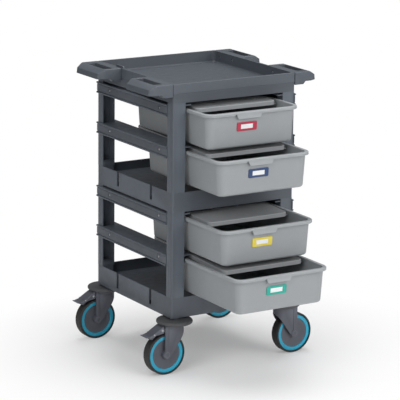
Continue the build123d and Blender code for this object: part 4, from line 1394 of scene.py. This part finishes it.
def fork_shape(size, braked):
    """A fork: a crown with a rounded nose and two legs that narrow to the axle."""
    trail, wheel, crown_low, crown_high = castor_levels(size)
    half = fork_half(size)
    rear = trail + size.fork_rear
    nose = half - size.fork_lead
    end = trail + size.fork_end + PAST
    low = wheel - size.fork_end - PAST
    outer = prism([(x, y, low) for x, y in nose_outline(nose, half, end)], (0, 0, crown_high - low))
    top = end_face(outer, (0, 0, 1))
    round_edges(outer, list(top.edges), size.crown_edge, 4)
    visor = crown_high - size.fork_visor
    away = math.atan2(visor - wheel, -size.fork_lead - trail)
    reach = math.hypot(visor - wheel, size.fork_lead + trail)
    touch = away + math.acos(size.fork_end / reach)
    leave = 2 * math.pi + math.acos(size.fork_rear / size.fork_end)
    lead = -size.fork_lead
    side = [(lead - PAST, crown_high + PAST), (lead - PAST, visor), (lead, visor)]
    side += arc((trail, wheel), size.fork_end, touch, leave, 24)
    side.append((rear, crown_high + PAST))
    shape = combine(outer, [side_prism(side, half + PAST)], "INTERSECT")
    inner = nose_outline(nose, half - size.fork_wall, end + PAST)
    hollow = prism([(x, y, low - PAST) for x, y in inner], (0, 0, crown_low - low + PAST))
    stem = rod((0, 0, crown_low - PAST), (0, 0, crown_high + PAST), size.stem_radius)
    shape = carve(shape, hollow, stem)
    extras = []
    for sign in (-1, 1):
        face = sign * half
        sunk = face - sign * PAST
        proud = sign * (half + size.ridge_proud)
        rib = cuboid(
            (trail - size.ridge_width / 2, min(sunk, proud), wheel),
            (trail + size.ridge_width / 2, max(sunk, proud), crown_high - size.crown_edge - PAST),
        )
        boss = rod((trail, sunk, wheel), (trail, proud, wheel), size.fork_end - 2 * PAST, 40)
        extras += [rib, boss]
    if braked:
        outer_face = half - size.pedal_wall - size.pedal_play
        root = rear - size.fork_wall
        pin_x = trail + size.pin_out
        pin_z = wheel + size.pin_up
        for sign in (-1, 1):
            sides = sorted((sign * (outer_face - size.ear_wall), sign * outer_face))
            arm = cuboid(
                (root, sides[0], pin_z - size.ear_radius), (pin_x, sides[1], pin_z + size.ear_radius)
            )
            eye = rod((pin_x, sides[0], pin_z), (pin_x, sides[1], pin_z), size.ear_radius)
            extras += [arm, eye]
    return fuse(shape, *extras)


def three_point_arc(start, middle, end, segments):
    """Points on the arc through three points."""
    (ax, ay), (bx, by), (cx, cy) = start, middle, end
    scale = 2 * (ax * (by - cy) + bx * (cy - ay) + cx * (ay - by))
    a, b, c = ax * ax + ay * ay, bx * bx + by * by, cx * cx + cy * cy
    centre = (
        (a * (by - cy) + b * (cy - ay) + c * (ay - by)) / scale,
        (a * (cx - bx) + b * (ax - cx) + c * (bx - ax)) / scale,
    )
    radius = math.hypot(ax - centre[0], ay - centre[1])
    first = math.atan2(ay - centre[1], ax - centre[0])
    last = math.atan2(cy - centre[1], cx - centre[0])
    return arc(centre, radius, first, last, segments)


def pedal_shape(size):
    """The brake pedal: a curved hood with a thin foot lip, and a pad over the tread."""
    trail, wheel, _, crown_high = castor_levels(size)
    half = fork_half(size)
    top = crown_high - size.pedal_below

    def point(out, drop):
        return (trail + out, top - drop)

    start = point(size.pedal_start, 0)
    tip = point(size.pedal_reach, size.pedal_reach_drop)
    halfway = point(size.pedal_curve, size.pedal_curve_drop)
    curve = three_point_arc(start, halfway, point(size.pedal_foot, size.pedal_foot_drop), 14) + [tip]
    low = [
        point(size.pedal_reach - size.pedal_wall, size.pedal_front_drop),
        point(size.pedal_waist, size.pedal_waist_drop),
        point(size.pedal_start, size.pedal_start_drop),
    ]
    shape = side_prism(curve + low, half)
    shoulders = []
    for edge in shape.edges:
        along = abs(edge.verts[0].co.y - edge.verts[1].co.y) < PAST
        if along and any(face.normal.z > 0.3 for face in edge.link_faces):
            shoulders.append(edge)
    round_edges(shape, shoulders, size.pedal_round, 4)
    deep = top - 2 * size.pedal_front_drop
    before = start[0] - size.pedal_start
    inner = [(x - size.pedal_wall, z - size.pedal_top) for x, z in curve]
    inner += [(inner[-1][0], deep), (before, deep), (before, inner[0][1])]
    shape = carve(shape, side_prism(inner, half - size.pedal_wall))
    root = tip[0] - size.pedal_wall
    end = tip[0] + size.lip
    lip = [
        (root, tip[1] - size.lip_step - size.lip_root),
        (end, tip[1] - size.lip_wall),
        (end, tip[1]),
        (root, tip[1] - size.lip_step),
    ]
    pad_reach = wheel + size.pad_gap
    pad = []
    for index in range(5):
        x = size.pad_out + size.pad_length * index / 4
        pad.append((trail + x, wheel + math.sqrt(pad_reach**2 - x**2)))
    pad.append((trail + size.pad_out + size.pad_length, top - size.pedal_foot_drop))
    pad.append((trail + size.pad_out, top - size.pedal_foot_drop + size.pedal_top))
    return join([shape, side_prism(lip, size.lip_width / 2), side_prism(pad, size.pad_width / 2)])


def rivet_shape(place, half, radius, head, proud):
    """A pin across the castor with a domed head at each end."""
    dome = [(head * math.cos(a), half + proud * math.sin(a)) for a in (0.0, 0.4, 0.8, 1.2)]
    profile = [(0.0, half + proud), *reversed(dome), (radius, half), (radius, -half)]
    profile += [(head * math.cos(a), -half - proud * math.sin(a)) for a in (0.0, 0.4, 0.8, 1.2)]
    profile.append((0.0, -half - proud))
    return lathe(profile, (place[0], 0, place[1]), (0, 1, 0), 28)


class CART_OT_castors(bpy.types.Operator):
    """Builds the forks and their axles."""

    bl_idname = "cart.castors"
    bl_label = "Castors"

    def execute(self, context):
        size = context.scene.cart_castor
        axle_centre = castor_levels(size)[:2]
        half = fork_half(size) + size.ridge_proud
        proud = size.axle_proud - size.ridge_proud
        for label, (side, _) in CORNERS.items():
            place = castor_place(label)
            body = f"castor_{label}"
            fork = fork_shape(size, side < 0)
            piece(f"fork_shell_{label}", fork, body, "castor_plastic", [f"fork_{label}"], size.edge, 3, place)
            axle = rivet_shape(axle_centre, half, size.axle_radius, size.axle_head, proud)
            piece(f"axle_bolt_{label}", axle, body, "castor_plastic", [f"axle_{label}"], 0, place=place)
        return {"FINISHED"}


class CART_OT_wheels(bpy.types.Operator):
    """Builds the hubs, the coloured rings and the tyres."""

    bl_idname = "cart.wheels"
    bl_label = "Wheels"

    def execute(self, context):
        size = context.scene.cart_castor
        trail, wheel = castor_levels(size)[:2]
        ring_outer = wheel - size.tyre
        ring_inner = ring_outer - size.ring
        half = size.wheel_width / 2
        ring_half = size.ring_width / 2
        hub_half = size.hub_width / 2
        shoulder = size.shoulder
        tyre = [(ring_outer, half)]
        tyre += arc((wheel - shoulder, half - shoulder), shoulder, math.pi / 2, 0, 6)
        tyre += arc((wheel - shoulder, shoulder - half), shoulder, 0, -math.pi / 2, 6)
        tyre.append((ring_outer, -half))
        edge = size.ring_edge
        ring = []
        for side in (1, -1):
            face = [
                *arc((ring_inner + edge, ring_half - edge), edge, math.pi, math.pi / 2, 4),
                ((ring_inner + ring_outer) / 2, ring_half + edge / 4),
                *arc((ring_outer - edge, ring_half - edge), edge, math.pi / 2, 0, 4),
            ]
            ring += face if side > 0 else [(radius, -height) for radius, height in reversed(face)]
        dish = ring_inner - size.hub_rim
        floor = hub_half - size.hub_recess
        boss = half + size.side_gap / 2
        sides = [
            (size.axle_radius, boss),
            (size.boss_radius - PAST, boss),
            (size.boss_radius, boss - PAST),
            (size.boss_radius + PAST, floor),
            (dish - 4 * size.hub_recess, floor),
            (dish, hub_half),
            (ring_inner, hub_half),
        ]
        hub = sides + [(radius, -height) for radius, height in reversed(sides)]
        for label in CORNERS:
            place = castor_place(label)
            body = f"wheel_{label}"
            parts = (
                ("tyre_band", tyre, "tyre", "tyre"),
                ("ring_band", ring, "ring_blue", "ring"),
                ("hub_disc", hub, "hub_plastic", "hub"),
            )
            for name, profile, slot, node in parts:
                shape = lathe(profile, (trail, 0, wheel), (0, 1, 0), 96)
                edge_width = size.edge / 2 if node == "hub" else 0
                piece(f"{name}_{label}", shape, body, slot, [f"{node}_{label}"], edge_width, 2, place)
        return {"FINISHED"}


class CART_OT_pedals(bpy.types.Operator):
    """Builds the brake pedals and their pins."""

    bl_idname = "cart.pedals"
    bl_label = "Brake pedals"

    def execute(self, context):
        size = context.scene.cart_castor
        trail, wheel = castor_levels(size)[:2]
        half = fork_half(size)
        for label in ("front_left", "rear_left"):
            place = castor_place(label)
            node = f"brake_pedal_{label}"
            body = f"pedal_{label}"
            hood = pedal_shape(size)
            piece(f"pedal_hood_{label}", hood, body, "castor_plastic", [node], size.edge, 3, place)
            centre = (trail + size.rivet_out, wheel + size.rivet_up)
            rivet = rivet_shape(centre, half, size.rivet_radius, size.rivet_head, size.pin_proud)
            piece(f"pedal_rivet_{label}", rivet, body, "steel", [], 0, place=place)
            centre = (trail + size.pin_out, wheel + size.pin_up)
            pin = rivet_shape(centre, half, size.pin_radius, size.pin_head, size.pin_proud)
            node = f"pedal_pin_{label}"
            piece(f"hinge_pin_{label}", pin, f"castor_{label}", "steel", [node], 0, place=place)
        return {"FINISHED"}


class CART_OT_bumpers(bpy.types.Operator):
    """Builds the bumper discs over the castors."""

    bl_idname = "cart.bumpers"
    bl_label = "Bumpers"

    def execute(self, context):
        size = context.scene.cart_castor
        for label in CORNERS:
            low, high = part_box(f"bumper_{label}")
            top = low.z + size.bumper_height
            edge = size.bumper_edge
            profile = [(size.stem_radius, low.z), (size.bumper_radius - edge, low.z)]
            profile += arc((size.bumper_radius - edge, low.z + edge), edge, -math.pi / 2, 0, 5)[1:]
            profile += arc((size.bumper_radius - edge, top - edge), edge, 0, math.pi / 2, 5)
            profile += [(size.bumper_hub + 2 * PAST, top), (size.bumper_hub, top + PAST)]
            profile += [(size.bumper_hub, high.z), (size.stem_radius, high.z)]
            shape = lathe(profile, (0, 0, 0), (0, 0, 1), 96)
            nodes = [f"bumper_{label}"]
            place = castor_place(label)
            piece(f"bumper_disc_{label}", shape, "frame", "bumper_rubber", nodes, 0, place=place)
        return {"FINISHED"}


class CART_OT_finishes(bpy.types.Operator):
    """Gives every frame node that still shows the finish of its slot."""

    bl_idname = "cart.finishes"
    bl_label = "Finishes"

    def execute(self, context):
        for row in frame["record"]["subparts"]:
            mesh = frame["nodes"][row["node"]].data
            mesh.materials.clear()
            mesh.materials.append(finish(row["material_slot"]))
        return {"FINISHED"}


class CART_OT_stage(bpy.types.Operator):
    """Builds the floor, the lights and the camera."""

    bl_idname = "cart.stage"
    bl_label = "Stage"

    def execute(self, context):
        scene = context.scene
        setting = scene.cart_stage
        scene.view_settings.view_transform = "Standard"
        self.make_floor(scene)
        self.make_world(scene, setting)
        target = Vector((setting.target_x, CENTRE_Y, setting.target_z))
        for name, (place, width) in LIGHTS.items():
            self.make_light(scene, name, place, target, width, getattr(setting, name))
        self.make_camera(scene, setting, target)
        return {"FINISHED"}

    def make_floor(self, scene):
        shape = bmesh.new()
        bmesh.ops.create_grid(shape, x_segments=1, y_segments=1, size=FLOOR_REACH)
        mesh = bpy.data.meshes.new("floor")
        shape.to_mesh(mesh)
        shape.free()
        floor = bpy.data.objects.new("floor", mesh)
        scene.collection.objects.link(floor)
        material, tree, surface, coordinates = shader("floor", 0.7)
        surface.inputs["Base Color"].default_value = (*scene.cart_colours.floor, 1)
        rays = tree.nodes.new("ShaderNodeLightPath").outputs["Is Camera Ray"]
        separation = tree.nodes.new("ShaderNodeVectorMath")
        separation.operation = "LENGTH"
        tree.links.new(coordinates, separation.inputs[0])
        far = spread(tree, separation.outputs["Value"], *FLOOR_WHITE, *FLOOR_FADE)
        both = tree.nodes.new("ShaderNodeMath")
        both.operation = "MULTIPLY"
        tree.links.new(rays, both.inputs[0])
        tree.links.new(far, both.inputs[1])
        white = tree.nodes.new("ShaderNodeEmission")
        mix = tree.nodes.new("ShaderNodeMixShader")
        tree.links.new(both.outputs["Value"], mix.inputs["Fac"])
        tree.links.new(surface.outputs["BSDF"], mix.inputs[1])
        tree.links.new(white.outputs["Emission"], mix.inputs[2])
        output = tree.nodes["Material Output"]
        tree.links.new(mix.outputs["Shader"], output.inputs["Surface"])
        mesh.materials.append(material)

    def make_world(self, scene, setting):
        world = bpy.data.worlds.new("studio")
        scene.world = world
        world.use_nodes = True
        tree = world.node_tree
        ambient = tree.nodes["Background"]
        ambient.inputs["Color"].default_value = (1, 1, 1, 1)
        ambient.inputs["Strength"].default_value = setting.ambient
        white = tree.nodes.new("ShaderNodeBackground")
        rays = tree.nodes.new("ShaderNodeLightPath").outputs["Is Camera Ray"]
        mix = tree.nodes.new("ShaderNodeMixShader")
        tree.links.new(rays, mix.inputs["Fac"])
        tree.links.new(ambient.outputs["Background"], mix.inputs[1])
        tree.links.new(white.outputs["Background"], mix.inputs[2])
        tree.links.new(mix.outputs["Shader"], tree.nodes["World Output"].inputs["Surface"])
        white.inputs["Color"].default_value = (1, 1, 1, 1)

    def make_light(self, scene, name, place, target, size, power):
        data = bpy.data.lights.new(name, "AREA")
        data.shape = "SQUARE"
        data.size = size
        data.energy = power
        light = bpy.data.objects.new(name, data)
        scene.collection.objects.link(light)
        light.location = place
        light.rotation_euler = (target - Vector(place)).to_track_quat("-Z", "Y").to_euler()

    def make_camera(self, scene, setting, target):
        turn = -setting.azimuth
        rise = setting.elevation
        back = Vector(
            (math.sin(turn) * math.cos(rise), -math.cos(turn) * math.cos(rise), math.sin(rise))
        )
        right = (-back).cross(Vector((0, 0, 1))).normalized()
        up = right.cross(-back)
        tilt = setting.roll
        rolled_right = math.cos(tilt) * right + math.sin(tilt) * up
        rolled_up = math.cos(tilt) * up - math.sin(tilt) * right
        data = bpy.data.cameras.new("camera")
        data.lens = setting.lens
        data.clip_end = 200
        camera = bpy.data.objects.new("camera", data)
        scene.collection.objects.link(camera)
        camera.matrix_world = (
            Matrix.Translation(target + back * setting.distance)
            @ Matrix((rolled_right, rolled_up, back)).transposed().to_4x4()
        )
        scene.camera = camera


class CART_PT_panel(bpy.types.Panel):
    """Lists the cart's pieces in the sidebar."""

    bl_idname = "CART_PT_panel"
    bl_label = "Service cart"
    bl_space_type = "VIEW_3D"
    bl_region_type = "UI"
    bl_category = "Cart"

    def draw(self, context):
        for name in STEPS:
            self.layout.operator(f"cart.{name}")
        for group in ("cart_colours", "cart_stage", "cart_body", "cart_drawer", "cart_castor"):
            settings = getattr(context.scene, group)
            box = self.layout.box()
            for name in settings.__annotations__:
                box.prop(settings, name)


STEPS = (
    "finishes",
    "tray",
    "platforms",
    "columns",
    "rails",
    "handles",
    "drawers",
    "labels",
    "lids",
    "bumpers",
    "castors",
    "wheels",
    "pedals",
    "stage",
)
GROUPS = {
    "cart_body": CartBody,
    "cart_drawer": CartDrawer,
    "cart_castor": CartCastor,
    "cart_colours": CartColours,
    "cart_stage": CartStage,
}
CLASSES = (
    *GROUPS.values(),
    CART_OT_finishes,
    CART_OT_tray,
    CART_OT_platforms,
    CART_OT_columns,
    CART_OT_rails,
    CART_OT_handles,
    CART_OT_drawers,
    CART_OT_labels,
    CART_OT_lids,
    CART_OT_bumpers,
    CART_OT_castors,
    CART_OT_wheels,
    CART_OT_pedals,
    CART_OT_stage,
    CART_PT_panel,
)


def register():
    """Registers the classes and hangs the settings on the scene."""
    for cls in CLASSES:
        bpy.utils.register_class(cls)
    for name, group in GROUPS.items():
        setattr(bpy.types.Scene, name, bpy.props.PointerProperty(type=group))


def unregister():
    """Takes the settings and the classes away again."""
    for name in GROUPS:
        delattr(bpy.types.Scene, name)
    for cls in reversed(CLASSES):
        bpy.utils.unregister_class(cls)


def main():
    """Builds the cart and its stage."""
    register()
    for name in STEPS:
        getattr(bpy.ops.cart, name)()


if __name__ == "__main__":
    main()
